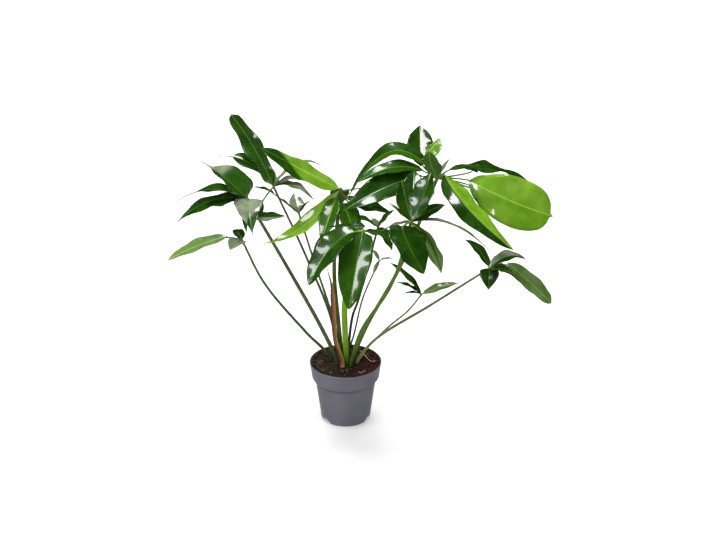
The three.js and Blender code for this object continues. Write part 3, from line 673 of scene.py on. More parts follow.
# Stem: the short stem of the plant, buried to its top. It swells under the stalks and is ringed with the
# scars of dropped leaves, brown and corky below.
STEM_TOP = 0.14565
STEM_LENGTH = 0.04565
STEM_RADIUS, STEM_BOTTOM_RADIUS = 0.035, 0.016
STEM_RINGS, RING_DEPTH = 2, 0.0012
STEM_STEPS, STEM_SEGMENTS = 40, 96
STEM_SHOULDER = [(0.0340, STEM_TOP - 0.001), (0.0325, STEM_TOP), (0.016, STEM_TOP), (NEAR_AXIS, STEM_TOP)]
CORK_GREEN, CORK_BROWN, CORK_CRACK = (74, 74, 44), (104, 84, 56), (48, 36, 24)


def stem_profile():
    bottom = STEM_TOP - STEM_LENGTH
    profile = [(NEAR_AXIS, bottom), (0.8 * STEM_BOTTOM_RADIUS, bottom), (STEM_BOTTOM_RADIUS, bottom + 0.001)]
    for i in range(1, STEM_STEPS):
        share = i / STEM_STEPS
        swell = math.sin(share * math.pi / 2)
        ring = RING_DEPTH * (share * (STEM_RINGS + 1) % 1) ** 3
        radius = STEM_BOTTOM_RADIUS + (STEM_RADIUS - STEM_BOTTOM_RADIUS) * swell - RING_DEPTH + ring
        profile.append((radius, bottom + share * (STEM_LENGTH - 0.003)))
    return profile + STEM_SHOULDER


def cork_finish():
    finish, tree, shader = new_finish("corky_stem", {"Roughness": 0.8})
    skin = tint(tree, speckle(tree, 0.006, 0.35, 0.65), CORK_GREEN, CORK_BROWN)
    cracks = speckle(tree, 0.0015, 0.55)
    feed(tree, shader.inputs["Base Color"], tint(tree, cracks, skin, CORK_CRACK))
    relief(tree, shader, spots(tree, 0.0015, detail=5), 0.0006)
    return finish


stem = made_of("ringed_stem", *turned(stem_profile(), STEM_SEGMENTS), cork_finish())
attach(stem, "root")
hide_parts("stem")

# Sheath: the dry, papery sheath that wrapped the newest leaf and now stands among the stalks. It is a
# folded strip, wide and golden at its foot, torn along its edges, and it ends in a thread.
SHEATH_ROUTE = [
    (-0.006, -0.036, 0.137), (-0.0075, -0.036, 0.164), (-0.015, -0.034, 0.202), (-0.025, -0.032, 0.234),
    (-0.029, -0.0325, 0.290), (-0.0315, -0.033, 0.362), (-0.034, -0.034, 0.396), (-0.045, -0.036, 0.444),
]
SHEATH_WIDTHS = [0.015, 0.016, 0.013, 0.014, 0.016, 0.013, 0.007, 0.0012]
SHEATH_STEPS, SHEATH_ACROSS = 160, 17
SHEATH_FOLD_DEG = 34
SHEATH_PAPER, PLEAT_HEIGHT, PLEAT_SPREAD = 0.0004, 0.00022, 15
TEAR_DEPTH, TEAR_SPREAD, TEAR_CHANGE = 0.07, 61, 23
NICK_DEPTH, NICK_SPREAD = 0.04, 170
PETIOLE_FOOT_Z = 0.146
GOLD_FOOT, RUST, TAN, THREAD_BROWN = (206, 160, 84), (126, 74, 52), (156, 94, 50), (120, 84, 56)
PURPLE_EDGE, PAINTED_GOLD_HIGHLIGHT, DARK_STRAND = (66, 32, 36), (212, 164, 100), (96, 58, 38)


def two_faced(top, bottom):
    """A closed plate between two like grids of points: its points and faces."""
    rows, across = top.shape[:2]
    size = rows * across
    index = np.arange(size).reshape(rows, across)
    a, b = index[:-1, :-1].ravel(), index[1:, :-1].ravel()
    c, d = index[1:, 1:].ravel(), index[:-1, 1:].ravel()
    faces = [np.stack([a, b, c, d], 1), np.stack([d, c, b, a], 1) + size]
    border = np.concatenate([index[:-1, 0], index[-1, :-1], index[:0:-1, -1], index[0, :0:-1]])
    after = np.roll(border, -1)
    faces.append(np.stack([border, border + size, after + size, after], 1))
    return np.concatenate([top.reshape(-1, 3), bottom.reshape(-1, 3)]), np.concatenate(faces)


def sheath_shape():
    """The sheath's points and faces, with how far along and across the strip each point lies."""
    fold = math.radians(SHEATH_FOLD_DEG)
    route = fine_route(SHEATH_ROUTE, SHEATH_STEPS)
    route = route[route[:, 2] > PETIOLE_FOOT_Z]
    along = unit(np.gradient(route, axis=0))
    along[:3] = along[3]
    side = unit(np.cross((0, 1, 0), along))
    out = np.cross(along, side)
    share = np.linspace(0, 1, len(route))
    torn = 1 + TEAR_DEPTH * np.sin(share * TEAR_SPREAD) * np.sin(share * TEAR_CHANGE + 1)
    torn = torn + NICK_DEPTH * np.sin(share * NICK_SPREAD)
    width = np.interp(share * (len(SHEATH_WIDTHS) - 1), range(len(SHEATH_WIDTHS)), SHEATH_WIDTHS)
    half_width = 0.5 * width * torn
    x = np.linspace(-1, 1, SHEATH_ACROSS)
    grid = route[:, None] + side[:, None] * (half_width[:, None] * x * math.cos(fold))[..., None]
    pleat = PLEAT_HEIGHT * np.sin(x * PLEAT_SPREAD) * (1 - share[:, None])
    lift = half_width[:, None] * x**2 * math.sin(fold) + pleat
    grid = grid + out[:, None] * lift[..., None]
    half = out[:, None] * SHEATH_PAPER / 2
    return *two_faced(grid + half, grid - half), np.repeat(share, SHEATH_ACROSS), np.tile(x, len(route))


def papery_finish():
    """Dry paper, golden at its foot, with a painted golden highlight along its right edge, purple along its
    left one, with strands.
    """
    finish, tree, shader = new_finish("papery_sheath", {"Roughness": 0.55})
    share, across = measure(tree, "along"), measure(tree, "across")
    foot = tint(tree, between(tree, share, 0.09, 0.17), GOLD_FOOT, RUST)
    middle = tint(tree, between(tree, share, 0.18, 0.32), foot, TAN)
    tip = tint(tree, between(tree, share, 0.65, 0.9), middle, THREAD_BROWN)
    purple = tint(tree, between(tree, across, 0.1, -0.6, 0.0, 0.9), tip, PURPLE_EDGE)
    edged = tint(tree, between(tree, share, 0.08, 0.14), tip, purple)
    # Painted highlight: golden, along the strip's right edge.
    painted_edge_highlight = tint(tree, between(tree, across, 0.25, 0.7, 0.0, 0.75), edged, PAINTED_GOLD_HIGHLIGHT)
    strands = speckle(tree, 0.0008, 0.4, 0.7, 0.0, 0.45, stretch=(1, 1, 30))
    feed(tree, shader.inputs["Base Color"], tint(tree, strands, painted_edge_highlight, DARK_STRAND))
    relief(tree, shader, spots(tree, 0.0006, stretch=(1, 1, 40)), 0.0003)
    return finish


sheath_points, sheath_faces, sheath_along, sheath_across = sheath_shape()
sheath = made_of("papery_leaf_sheath", sheath_points, sheath_faces, papery_finish())
set_measure(sheath, "along", np.tile(sheath_along, 2))
set_measure(sheath, "across", np.tile(sheath_across, 2))
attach(sheath, "root")
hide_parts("sheath")

# Petioles: the long, round leaf stalks. They spring from the stem, thicker and faintly grooved at the
# foot, bow outwards and end in a small swollen joint, and are olive, or fresh green on the young fronds.
MM = 0.001
SOIL_LINE_Z, ROOTED = 0.161, 0.010
STALK_SIDES, STALK_STEPS, FOOT_CROWDING = 20, 64, 1.3
FOOT_FLARE, FLARE_LENGTH = 0.12, 0.06
GROOVE_DEPTH, GROOVE_LENGTH = 0.16, 0.10
RIDGES, RIDGE_HEIGHT = 5, 0.012
JOINT_SWELL, JOINT_AT, JOINT_LENGTH = 0.10, 0.985, 0.012
CROWN_RADIUS_LIMIT, SLIMS_FROM = 0.0044, 0.75
FOOT_COLOUR_Z = (0.28, 0.16)
PORE = (168, 172, 120)
# In millimetres: each crown, its stalk's foot in the mix, a low and a high point on the way, the stalk's
# radii at foot and crown, and its skin
PETIOLE_SIZES = [
    ("low_left", (-246, -100, 543), (-32, 3), (-104, -25, 262), (-200, -67, 416), (4.2, 2.7), "olive"),
    ("left", (-232, -70, 636), (-20, -14), (-57, -25, 262), (-138, -45, 439), (5.6, 3.8), "olive"),
    ("upper_left", (-178, 40, 632), (-19, 15), (-38, 21, 278), (-99, 29, 446), (3.8, 2.8), "olive"),
    ("back_left", (-121, 110, 537), (-8, 22), (-37, 48, 276), (-89, 86, 435), (3.6, 2.6), "olive"),
    ("centre", (-9, -40, 651), (-9, 2), (-17, -7, 271), (-27, -21, 437), (5.6, 4.6), "mossy"),
    ("front", (44, -250, 622), (4, -16), (0, -75, 290), (2, -127, 397), (7.4, 7.4), "fresh"),
    ("front_right", (155, -190, 622), (14, -28), (41, -66, 282), (114, -122, 435), (4.6, 3.5), "spring"),
    ("upper_right", (223, -50, 683), (17, -7), (52, -15, 264), (142, -30, 452), (5.4, 4.2), "spring"),
    ("small_right", (203, 90, 315), (29, 1), (109, 43, 236), (167, 70, 276), (2.8, 2.2), "pale"),
    ("low_right", (366, -10, 432), (29, -14), (75, -13, 229), (221, -12, 331), (4, 2.8), "pale"),
    ("back", (85, 90, 505), (6, 9), (18, 34, 274), (33, 45, 316), (3.8, 2.8), "dusky"),
    ("back_small", (90, 130, 395), (3, 21), (22, 47, 216), (46, 87, 305), (2.6, 2), "dusky"),
]


def petiole(crown, foot, low, high, radii, skin):
    """One petiole from its row of the table, with the points that it passes through from root to crown."""
    rooted = [(*foot, (PETIOLE_FOOT_Z - ROOTED) / MM), (*foot, SOIL_LINE_Z / MM)]
    return {
        "crown": np.array(crown) * MM, "route": np.array([*rooted, low, high, crown]) * MM,
        "radii": np.array(radii) * MM, "skin": skin,
    }


PETIOLES = {"frond_" + name: petiole(*sizes) for name, *sizes in PETIOLE_SIZES}


def petiole_shape(grown):
    """A stalk along its route, with a groove at its foot, fine ridges and a swollen joint at its crown."""
    foot_radius, crown_radius = grown["radii"]
    fine = fine_route(grown["route"], 400)
    fine = fine[fine[:, 2] > PETIOLE_FOOT_Z]
    run = np.concatenate([[0], np.cumsum(np.linalg.norm(np.diff(fine, axis=0), axis=1))])
    share = np.linspace(0, 1, STALK_STEPS + 1) ** FOOT_CROWDING
    route = np.stack([np.interp(share * run[-1], run, fine[:, axis]) for axis in range(3)], 1)
    flare = 1 + FOOT_FLARE * np.exp(-share / FLARE_LENGTH)
    thick = (foot_radius + (crown_radius - foot_radius) * share) * flare
    turns = np.linspace(0, 2 * math.pi, STALK_SIDES, endpoint=False)
    channel_side = np.maximum(0, np.cos(turns - math.pi / 2)) ** 4
    groove = GROOVE_DEPTH * np.exp(-share / GROOVE_LENGTH)[:, None] * channel_side
    ridges = RIDGE_HEIGHT * np.cos(turns * RIDGES)
    slimmed = max(0, 1 - CROWN_RADIUS_LIMIT / crown_radius) * ease((share - SLIMS_FROM) / (1 - SLIMS_FROM))
    joint = 1 + JOINT_SWELL * np.exp(-(((share - JOINT_AT) / JOINT_LENGTH) ** 2)) - slimmed
    return bar(route, (thick * joint)[:, None] * (1 - groove + ridges))


def stalk_finish(name, skin, streak, foot):
    """A smooth, faintly streaked stalk, dotted with pale pores, that takes on its foot colour in patches and
    near the mix: painted shade, darker, on most skins, and a painted pale highlight on the pale one.
    """
    finish, tree, shader = new_finish(name, {})
    body = tint(tree, speckle(tree, 0.0015, 0.35, stretch=(1, 1, 25)), skin, streak)
    # Patches and the lower stalk take on the foot colour: painted shade, and on the pale skin a painted
    # highlight.
    shaded = tint(tree, speckle(tree, 0.05, 0.35, 0.7, 0.0, 0.35), body, foot)
    low = between(tree, place_along(tree, "Z"), *FOOT_COLOUR_Z, 0.0, 0.85)
    rooted = tint(tree, low, shaded, foot)
    pores = speckle(tree, 0.0022, 0.70, 0.78, 0.0, 0.4, detail=0, stretch=(1, 1, 2))
    feed(tree, shader.inputs["Base Color"], tint(tree, pores, rooted, PORE))
    feed(tree, shader.inputs["Roughness"], speckle(tree, 0.01, first=0.30, last=0.42))
    relief(tree, shader, spots(tree, 0.0008, stretch=(1, 1, 20)), 0.00015)
    return finish


# Each skin: its body, streak and foot colours. The foot colour is painted light near the mix: shade, darker,
# on most skins, and a pale highlight on the pale skin.
STALK_SKINS = {
    "olive": stalk_finish("olive_stalk", (70, 84, 48), (98, 114, 70), (62, 76, 36)),
    "fresh": stalk_finish("fresh_stalk", (104, 148, 14), (132, 176, 28), (70, 110, 14)),
    "spring": stalk_finish("spring_stalk", (76, 106, 26), (104, 136, 46), (60, 92, 24)),
    "pale": stalk_finish("pale_stalk", (76, 80, 48), (104, 108, 70), (140, 154, 92)),
    "mossy": stalk_finish("mossy_stalk", (58, 78, 22), (96, 116, 42), (44, 60, 20)),
    "dusky": stalk_finish("dusky_stalk", (46, 48, 30), (70, 72, 48), (40, 40, 26)),
}
for name, grown in PETIOLES.items():
    stalk = made_of(name + "_stalk", *petiole_shape(grown), STALK_SKINS[grown["skin"]])
    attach(stalk, "root")
    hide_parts(name + "_petiole")

# Leaflets: glossy leathery blades, folded along a pale midrib and waved at the edge, that end in a drip
# tip. Short arms carry them from the swollen joint at the crown of each frond.
ARM_RADIUS, ARM_TAPER, ARM_LEAD = 0.0026, 0.45, 0.0198
ARM_SIDES, ARM_STEPS, ARM_END = 12, 12, (0.8, 0.55, 0.2)
KNOB_SWELL = 1.2
TIP_HALF_WIDTH = 0.0006
WEDGE_START, WEDGE_LENGTH = 0.35, 0.09
WAVES_PER_BLADE, PHASE_STEP = 2.5, 0.37
FRILLS_PER_BLADE, FRILL_STEP, FRILL_HEIGHT = 7.3, 2.9, 0.006
CREASE_SOFTNESS = 0.02
ROW_LENGTH = 0.0042
MOST_ROWS, LEAST_ROWS = 56, 12
HALF_ACROSS, RIB_CROWDING = 8, 1.35
BLADE_THICK, EDGE_THICK = 0.0007, 0.0004
RIB_HEIGHT, RIB_THINS, RIB_HALF_WIDTH = 0.0013, 0.65, 0.0015
RIB_GROOVE = 0.0005
VEIN_SPACING, VEIN_SLANT, VEIN_CURVE = 0.0085, 0.55, 9
VEIN_SWELL, FULL_SWELL_WIDTH = 0.00045, 0.02
# Each look: a tone, and a share of painted grey reflection. The tone is partly the leaf's own green, old and
# dark or young and yellow green, and partly painted light: the light tones paint light shining through a
# leaf, the dark ones its shade. Two looks on one leaflet paint its halves differently: one in shade, the
# other lit or under a painted reflection.
LOOKS = {
    "dark": (0.0, 0.0), "deep": (0.25, 0.0), "mid": (0.5, 0.0), "fresh": (0.82, 0.0), "light": (1.0, 0.0),
    "pale": (0.72, 0.4), "grey": (0.15, 1.0),
}
RUFFLE_LENGTH = 0.45
TAIL_FULLNESS = 0.1
SHADE_SLANT, SHADE_FADE, PAINTED_REFLECTION_FADE = 0.18, 0.05, 0.15
CAD_LOW, CAD_HIGH = np.array(cad_box[0]), np.array(cad_box[1])
DEEP_GREEN, DEEP_MOTTLE, LEAF_GREEN = (20, 54, 2), (34, 74, 4), (44, 90, 6)
YOUNG_AND_BACKLIT_GREEN, YOUNG_AND_BACKLIT_MOTTLE = (100, 148, 18), (126, 174, 42)
PAINTED_REFLECTION_GREY, PAINTED_REFLECTION_MOTTLE = (104, 116, 88), (146, 154, 130)
UNDERSIDE = (84, 116, 48)
DARK_VEIN, YOUNG_AND_BACKLIT_VEIN = (84, 122, 40), (176, 208, 96)


def leaflet(to, width, base=None, arch=0, bend=0, roll=0, fold=12, wave=0.05, ruffle=0, neck=0, tail=0,
            halves=(1, 1), widest=0.42, point=1.8, look="dark", shaded_tip=1.5, painted_reflection_from=-1):
    """One leaflet, measured in millimetres and degrees as it grows: where its tip lies from its base, its
    width, where its base stands from the crown, the arch and sideways bend of its midrib, its roll and
    fold, how far its edge waves and its outline swells and narrows, the shares of its length taken by a
    narrow neck and tail, how broad its left and right halves are, where it is widest, how pointed it is,
    how its skin looks, on both halves or on the left and the right one, and the shares of its length
    past which its tip is dark with painted shade and its painted grey reflection begins."""
    return {
        "to": np.array(to) * MM, "width": width * MM, "base": base and np.array(base) * MM,
        "arch": arch * MM, "bend": bend * MM, "roll": math.radians(roll), "fold": math.radians(fold),
        "wave": wave, "ruffle": ruffle, "neck": neck, "tail": tail, "halves": halves, "widest": widest,
        "point": point, "looks": (look, look) if isinstance(look, str) else look, "shaded_tip": shaded_tip,
        "painted_reflection_from": painted_reflection_from,
    }


LEAFLETS = {
    "frond_low_left": [
        leaflet((-145, -30, -50), 42, base=(-31, 0, 10), arch=9, bend=6, roll=-20, widest=0.48, point=1.5,
                look="pale"),
        leaflet((-22, -60, -2), 42, arch=5, roll=-10, look="grey"),
        leaflet((-22, 40, 12), 30, arch=6),
    ],
    "frond_left": [
        leaflet((-134, 60, 85), 74, arch=8, bend=-5, roll=-10, tail=0.3, halves=(0.6, 1.4), widest=0.42,
                point=1.5, look=("dark", "grey"), painted_reflection_from=0.42),
        leaflet((-201, -20, -28), 60, arch=38, bend=-7, tail=0.4, halves=(1.2, 0.9), widest=0.5, point=1.6),
        leaflet((-168, -55, -45), 68, arch=16, bend=-30, roll=-10, tail=0.08, halves=(1.55, 0.6),
                widest=0.42, point=1.4),
        leaflet((19, -90, -57), 70, arch=17, bend=-2, widest=0.33, point=2.1, look="grey", shaded_tip=0.68),
        leaflet((85, -25, 10), 36, base=(8, -10, -40), arch=-3, roll=20, look=("dark", "grey")),
        leaflet((6, -10, -45), 14, base=(-11, 0, -37), arch=5),
    ],
    "frond_upper_left": [
        leaflet((-106, 65, 168), 48, arch=7, bend=-6, roll=-60, wave=0.08, ruffle=0.16, widest=0.52,
                point=0.9),
        leaflet((-172, 30, 60), 46, arch=29, bend=-26, roll=-30, neck=0.12, tail=0.36, widest=0.6, point=2),
        leaflet((-25, 60, 30), 32, arch=10, look="grey"),
        leaflet((97, 10, 2), 35, arch=18, look="grey"),
        leaflet((102, -20, -30), 45, arch=20, look="grey"),
        leaflet((20, 20, 28), 15, look="grey"),
        leaflet((133, 45, 28), 25, arch=42, look="grey"),
        leaflet((-5, -15, -45), 20, base=(-30, -15, -30)),
    ],
    "frond_back_left": [
        leaflet((-57, 0, 18), 22, base=(-60, 0, 53), arch=4),
        leaflet((-15, 40, 42), 42, look="grey"),
        leaflet((32, 10, 32), 14, arch=4),
        leaflet((-30, 0, 15), 14, base=(-25, 0, 25), arch=2),
    ],
    "frond_centre": [
        leaflet((-184, -20, 108), 58, arch=-2, bend=-2, roll=-25, halves=(1.75, 0.9), widest=0.5, point=1.3,
                shaded_tip=0.68, look="fresh"),
        leaflet((-201, -60, -118), 50, arch=-36, bend=-7, roll=-20, tail=0.16, widest=0.38, point=1.6,
                look="light"),
        leaflet((-38, -52, -97), 52, base=(-9, -10, -13), arch=9, bend=3, widest=0.5, look="mid"),
        leaflet((29, -56, -69), 58, base=(1, -10, -29), arch=5, bend=5, widest=0.5, look="mid"),
        leaflet((111, -20, -19), 56, base=(11, -10, -31), arch=3, bend=-1, roll=10),
        leaflet((67, -30, -10), 40, base=(6, -10, -19), arch=5, look="mid"),
        leaflet((58, -12, 12), 10, base=(8, -10, -3), arch=3),
        leaflet((-8, 130, -92), 50, arch=8),
    ],
    "frond_front": [
        leaflet((-103, -60, -106), 76, base=(-17, 0, 0), arch=21, bend=-7, roll=-12, widest=0.46, point=1.3),
        leaflet((-31, -80, -156), 82, base=(0, 0, 0), arch=20, bend=2, halves=(0.9, 1.06), widest=0.42,
                point=1.15, look="deep"),
        leaflet((65, -20, -14), 35, arch=4),
        leaflet((-75, 130, -40), 58, arch=8),
    ],
    "frond_front_right": [
        leaflet((52, -60, -96), 100, base=(-24, -4, -6), arch=11, bend=-11, widest=0.38, point=1.15),
        leaflet((-22, 60, 81), 54, widest=0.5),
        leaflet((10, 100, 92), 66, widest=0.5),
        leaflet((45, 35, 108), 72, arch=2, bend=-6, widest=0.5),
        leaflet((-52, 30, 38), 16, look="mid"),
        leaflet((-71, 20, -32), 25, arch=5, look="grey"),
        leaflet((79, -5, -138), 16, arch=29, bend=-7),
        leaflet((76, 42, -145), 56, bend=-14, roll=-20, look="pale"),
        leaflet((80, 30, 31), 34, arch=5, roll=30),
        leaflet((200, 20, -95), 22, arch=35, look="grey"),
    ],
    "frond_upper_right": [
        leaflet((210, -50, -81), 122, base=(69, 20, -6), arch=2, bend=-27, roll=66, neck=0.05, tail=0.04,
                widest=0.6, point=1.15, look=("light", "fresh")),
        leaflet((156, -128, -146), 86, base=(14, -16, 17), arch=17, bend=-43, roll=20, fold=-25,
                halves=(1.15, 0.65), point=1.45, look=("light", "dark")),
        leaflet((215, 60, -47), 76, base=(20, 8, 15), arch=27, roll=4, fold=-5, wave=0.08, widest=0.6),
        leaflet((-47, 15, 8), 26, base=(100, 5, 11), arch=3, look="grey"),
        leaflet((35, -40, -55), 34, base=(77, 4, -14), arch=6, bend=4, widest=0.5, look="pale"),
        leaflet((31, -34, -54), 34, base=(112, 4, -32), arch=1, bend=-3, widest=0.5, look="mid"),
        leaflet((0, 80, 82), 66, base=(-40, 5, 25), widest=0.5, point=1.9),
        leaflet((46, 20, 51), 46, base=(-40, 0, 42), arch=-2, bend=4, roll=40, neck=0.2, halves=(0.3, 1.1),
                widest=0.5, point=1.5, look="fresh"),
        leaflet((-195, 28, -84), 52, base=(-20, 0, 22), arch=80, roll=-25, look=("mid", "dark")),
        leaflet((-165, -35, -20), 40, base=(-30, -4, 18), arch=24, roll=-30, look="deep"),
        leaflet((-189, -70, -66), 72, base=(-36, -10, 10), arch=12, roll=-40),
        leaflet((-24, -50, 79), 46, base=(0, -10, 5), bend=-7, look="mid"),
        leaflet((31, 14, 46), 16, arch=2, look="grey"),
    ],
    "frond_small_right": [
        leaflet((98, 0, 32), 28, arch=6, bend=-3, roll=25, look="pale"),
        leaflet((-87, 30, 80), 32, arch=3, bend=-9),
        leaflet((-69, 0, 35), 26, arch=7, bend=3),
        leaflet((-50, -10, 5), 15, arch=5),
    ],
    "frond_low_right": [
        leaflet((-61, 40, 61), 32, arch=8, bend=-8, roll=-15),
        leaflet((-7, -50, -38), 50, arch=8),
        leaflet((98, 30, 10), 44, arch=22, roll=10, look=("grey", "dark")),
        leaflet((55, -34, 0), 48, arch=4, look="mid"),
        leaflet((113, -36, -97), 48, base=(42, -6, 19), arch=3, bend=-2, roll=35, widest=0.55, point=1.1,
                look="pale"),
        leaflet((92, -20, -48), 22, arch=15, look="grey"),
    ],
    "frond_back": [
        leaflet((37, -30, -55), 40, arch=8),
        leaflet((-18, 10, 20), 25, arch=4, look="grey"),
        leaflet((42, 10, 45), 30, arch=4),
        leaflet((-80, 0, 30), 35, arch=8),
    ],
    "frond_back_small": [
        leaflet((-18, -20, -35), 14, arch=2, look="grey"),
        leaflet((38, 0, 5), 14, arch=4, look="grey"),
        leaflet((-20, 20, 25), 14, arch=4, look="grey"),
    ],
}


def bent(start, middle, end, share):
    """Points along the curve that leaves start and reaches end, drawn towards middle."""
    share = np.asarray(share, float)[:, None]
    return (1 - share) ** 2 * start + 2 * share * (1 - share) * middle + share**2 * end


def midrib(start, leaf):
    """Where a leaf's midrib starts, is drawn towards and ends, the way to its left, and its length."""
    left = unit(np.array([-leaf["to"][1], leaf["to"][0], 0]))
    middle = start + leaf["to"] / 2 + 2 * leaf["arch"] * np.array((0, 0, 1)) + 2 * leaf["bend"] * left
    return (start, middle, start + leaf["to"]), left, np.linalg.norm(leaf["to"])


def blade_outline(share, leaf):
    """How full a blade is at each share of its length."""
    rise, fall = leaf["point"] * leaf["widest"], leaf["point"] * (1 - leaf["widest"])
    full = leaf["widest"] ** rise * (1 - leaf["widest"]) ** fall
    along = np.clip((share - leaf["neck"]) / (1 - leaf["tail"] - leaf["neck"]), 0, 1)
    swell = 1 + leaf["ruffle"] * np.cos(2 * math.pi * (share - leaf["widest"]) / RUFFLE_LENGTH)
    fullness = swell * along**rise * (1 - along) ** fall / full
    if leaf["tail"]:
        tail = TAIL_FULLNESS * np.minimum(1, (1 - share) / leaf["tail"])
        fullness = np.where(along > leaf["widest"], np.maximum(fullness, tail), fullness)
    return fullness


def blade_shape(start, leaf, sunk, phase):
    """One blade as a closed plate, with the numbers that its finish reads at each point."""
    (start, middle, end), left, length = midrib(start, leaf)
    rows = int(np.clip(length / ROW_LENGTH, LEAST_ROWS, MOST_ROWS))
    share = np.linspace(sunk / length, 1, rows + 1)
    rib = bent(start, middle, end, share)
    along = unit((middle - start) + share[:, None] * (end - 2 * middle + start))
    side = unit(left - along * (along @ left)[:, None])
    side = side * math.cos(leaf["roll"]) + np.cross(along, side) * math.sin(leaf["roll"])
    out = np.cross(along, side)

    step = np.linspace(-1, 1, 2 * HALF_ACROSS + 1)
    x = np.sign(step) * np.abs(step) ** RIB_CROWDING
    fullness = blade_outline(share, leaf)
    wedge = WEDGE_START + (1 - WEDGE_START) * ease((share - share[0]) / WEDGE_LENGTH)
    broad = np.where(x > 0, *leaf["halves"])
    half_width = np.maximum(0.5 * leaf["width"] * (fullness * wedge)[:, None] * broad, TIP_HALF_WIDTH)
    share = share[:, None]
    turn = WAVES_PER_BLADE * share + phase + 0.25 * (x > 0)
    ripple = leaf["wave"] * leaf["width"] * fullness[:, None] * x**2 * np.sin(2 * math.pi * turn)
    turn = FRILLS_PER_BLADE * share + FRILL_STEP * phase + 0.4 * (x > 0)
    frill = FRILL_HEIGHT * leaf["width"] * fullness[:, None] * np.abs(x) ** 3 * np.sin(2 * math.pi * turn)
    flat = math.sqrt(CREASE_SOFTNESS)
    crease = (np.sqrt(x**2 + CREASE_SOFTNESS) - flat) / (math.sqrt(1 + CREASE_SOFTNESS) - flat)
    lift = crease * half_width * math.sin(leaf["fold"]) + ripple + frill

    reach = x * half_width
    slant = VEIN_SLANT * np.abs(reach) + VEIN_CURVE * reach**2
    vein = (share * length - slant) / VEIN_SPACING + 0.5 * (x > 0)
    pillow = VEIN_SWELL * np.cos(2 * math.pi * vein) * np.sin(math.pi * np.abs(x))
    pillow = pillow * np.minimum(1, half_width / FULL_SWELL_WIDTH)
    surface = rib[:, None] + side[:, None] * (reach * math.cos(leaf["fold"]))[..., None]
    thick = BLADE_THICK + (EDGE_THICK - BLADE_THICK) * np.abs(x)
    rib_here = np.exp(-((reach / RIB_HALF_WIDTH) ** 2))
    above = lift - pillow + thick / 2 - RIB_GROOVE * rib_here
    below = lift - pillow - thick / 2 - RIB_HEIGHT * rib_here * (1 - RIB_THINS * share)
    top = surface + out[:, None] * above[..., None]
    bottom = surface + out[:, None] * below[..., None]
    points, faces = two_faced(top.clip(CAD_LOW, CAD_HIGH), bottom.clip(CAD_LOW, CAD_HIGH))
    spread = np.ones_like(x) * share
    (left_tone, left_painted_reflection), (right_tone, right_painted_reflection) = (LOOKS[look] for look in leaf["looks"])
    left_share = ease(0.5 + 10 * x) + 0 * spread
    # Painted shade: past shaded_tip, on a line slanted across the blade, the tone and the painted reflection
    # fade to dark.
    lit = ease((leaf["shaded_tip"] - SHADE_SLANT * x - spread) / SHADE_FADE)
    painted_reflection_share = lit * ease((spread - leaf["painted_reflection_from"]) / PAINTED_REFLECTION_FADE)
    kept = {"reach": reach, "vein": vein,
            "tone": lit * (right_tone + (left_tone - right_tone) * left_share),
            "bloom": painted_reflection_share * (right_painted_reflection + (left_painted_reflection - right_painted_reflection) * left_share)}
    kept = {name: np.tile(values.ravel(), 2) for name, values in kept.items()}
    kept["under"] = np.repeat([0.0, 1.0], spread.size)
    return points, faces, kept


def arm_shape(crown, start, leaf):
    """The branch that carries a blade away from the crown and turns into its midrib."""
    rib, _, length = midrib(start, leaf)
    lead = bent(*rib, [ARM_LEAD / length])[0]
    share = np.linspace(0, 1, ARM_STEPS + 1)
    radius = ARM_RADIUS * (1 - ARM_TAPER * share)
    radius[-len(ARM_END):] *= ARM_END
    return bar(bent(crown, start, lead, share), np.outer(radius, np.ones(ARM_SIDES)))


def worked_out(tree, how, *numbers):
    """What one Math node makes of these numbers."""
    maths = tree.nodes.new("ShaderNodeMath")
    maths.operation = how
    for socket, number in zip(maths.inputs, numbers):
        feed(tree, socket, number)
    return maths.outputs[0]


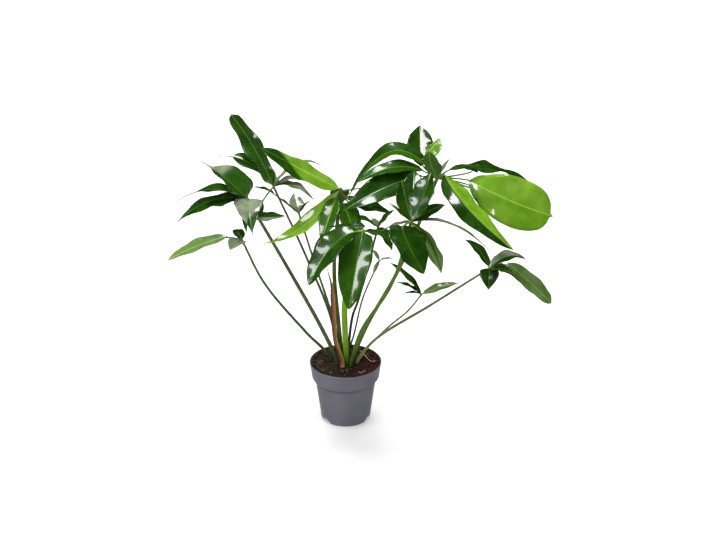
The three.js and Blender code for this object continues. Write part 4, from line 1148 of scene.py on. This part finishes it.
def leaf_finish():
    """Glossy leaf skin: deep green to yellow green by tone, partly its own green and partly painted light
    and shade, grey under a painted reflection, paler beneath, with a pale midrib and faint side veins."""
    plain = {"Specular IOR Level": 0.25, "Coat Weight": 0.85, "Coat Roughness": 0.09}
    finish, tree, shader = new_finish("glossy_leaf", plain)
    tone, bloom, under = measure(tree, "tone"), measure(tree, "bloom"), measure(tree, "under")
    mottle = speckle(tree, 0.035)
    dark = tint(tree, mottle, DEEP_GREEN, DEEP_MOTTLE)
    # Tone: partly the leaf's own green, partly painted light through the leaf and painted shade.
    middle = tint(tree, between(tree, tone, 0.0, 0.5), dark, LEAF_GREEN)
    young_and_backlit = tint(tree, mottle, YOUNG_AND_BACKLIT_GREEN, YOUNG_AND_BACKLIT_MOTTLE)
    light = tint(tree, between(tree, tone, 0.5, 1.0), middle, young_and_backlit)
    # Painted reflection: grey laid over the green where its measure is high.
    painted_reflection_grey = tint(tree, mottle, PAINTED_REFLECTION_GREY, PAINTED_REFLECTION_MOTTLE)
    with_painted_reflection = tint(tree, between(tree, bloom, 0.0, 1.0, 0.0, 0.8), light, painted_reflection_grey)
    paler = tint(tree, between(tree, under, 0.4, 0.6, 0.0, 0.5), with_painted_reflection, UNDERSIDE)

    vein = worked_out(tree, "PINGPONG", measure(tree, "vein"), 0.5)
    pale_vein = tint(tree, between(tree, tone, 0.0, 1.0), DARK_VEIN, YOUNG_AND_BACKLIT_VEIN)
    veined = tint(tree, between(tree, vein, 0.045, 0.0, 0.0, 0.22), paler, pale_vein)
    reach = worked_out(tree, "ABSOLUTE", measure(tree, "reach"))
    rib_line = between(tree, reach, 0.0018, 0.0006, 0.0, 0.62)
    feed(tree, shader.inputs["Base Color"], tint(tree, rib_line, veined, pale_vein))

    shine = speckle(tree, 0.02, first=0.22, last=0.32)
    feed(tree, shader.inputs["Roughness"], worked_out(tree, "MULTIPLY_ADD", under, 0.2, shine))
    relief(tree, shader, between(tree, vein, 0.10, 0.0, 1.0, 0.0), 0.00035)
    return finish


def knob(grown):
    """The swollen joint that a frond's leaflets spring from."""
    ball, ball_faces = lump_shape(3)
    return ball * KNOB_SWELL * min(grown["radii"][1], CROWN_RADIUS_LIMIT) + grown["crown"], ball_faces


glossy_leaf = leaf_finish()
for name, grown in PETIOLES.items():
    parts = [(*knob(grown), {})]
    for k, leaf in enumerate(LEAFLETS[name]):
        has_arm = leaf["base"] is not None
        start = grown["crown"] + (leaf["base"] if has_arm else 0)
        sunk = ARM_RADIUS if has_arm else KNOB_SWELL * grown["radii"][1] / 2
        parts.append(blade_shape(start, leaf, sunk, k * PHASE_STEP))
        if has_arm:
            parts.append((*arm_shape(grown["crown"], start, leaf), {}))
    blades = joined(name + "_blades", parts, glossy_leaf)
    blades.data.materials.append(STALK_SKINS[grown["skin"]])
    skins = [0 if kept else 1 for _, faces, kept in parts for _ in faces]
    blades.data.polygons.foreach_set("material_index", skins)
    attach(blades, "root")
    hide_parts(name + "_leaflets")

bpy.context.view_layer.update()
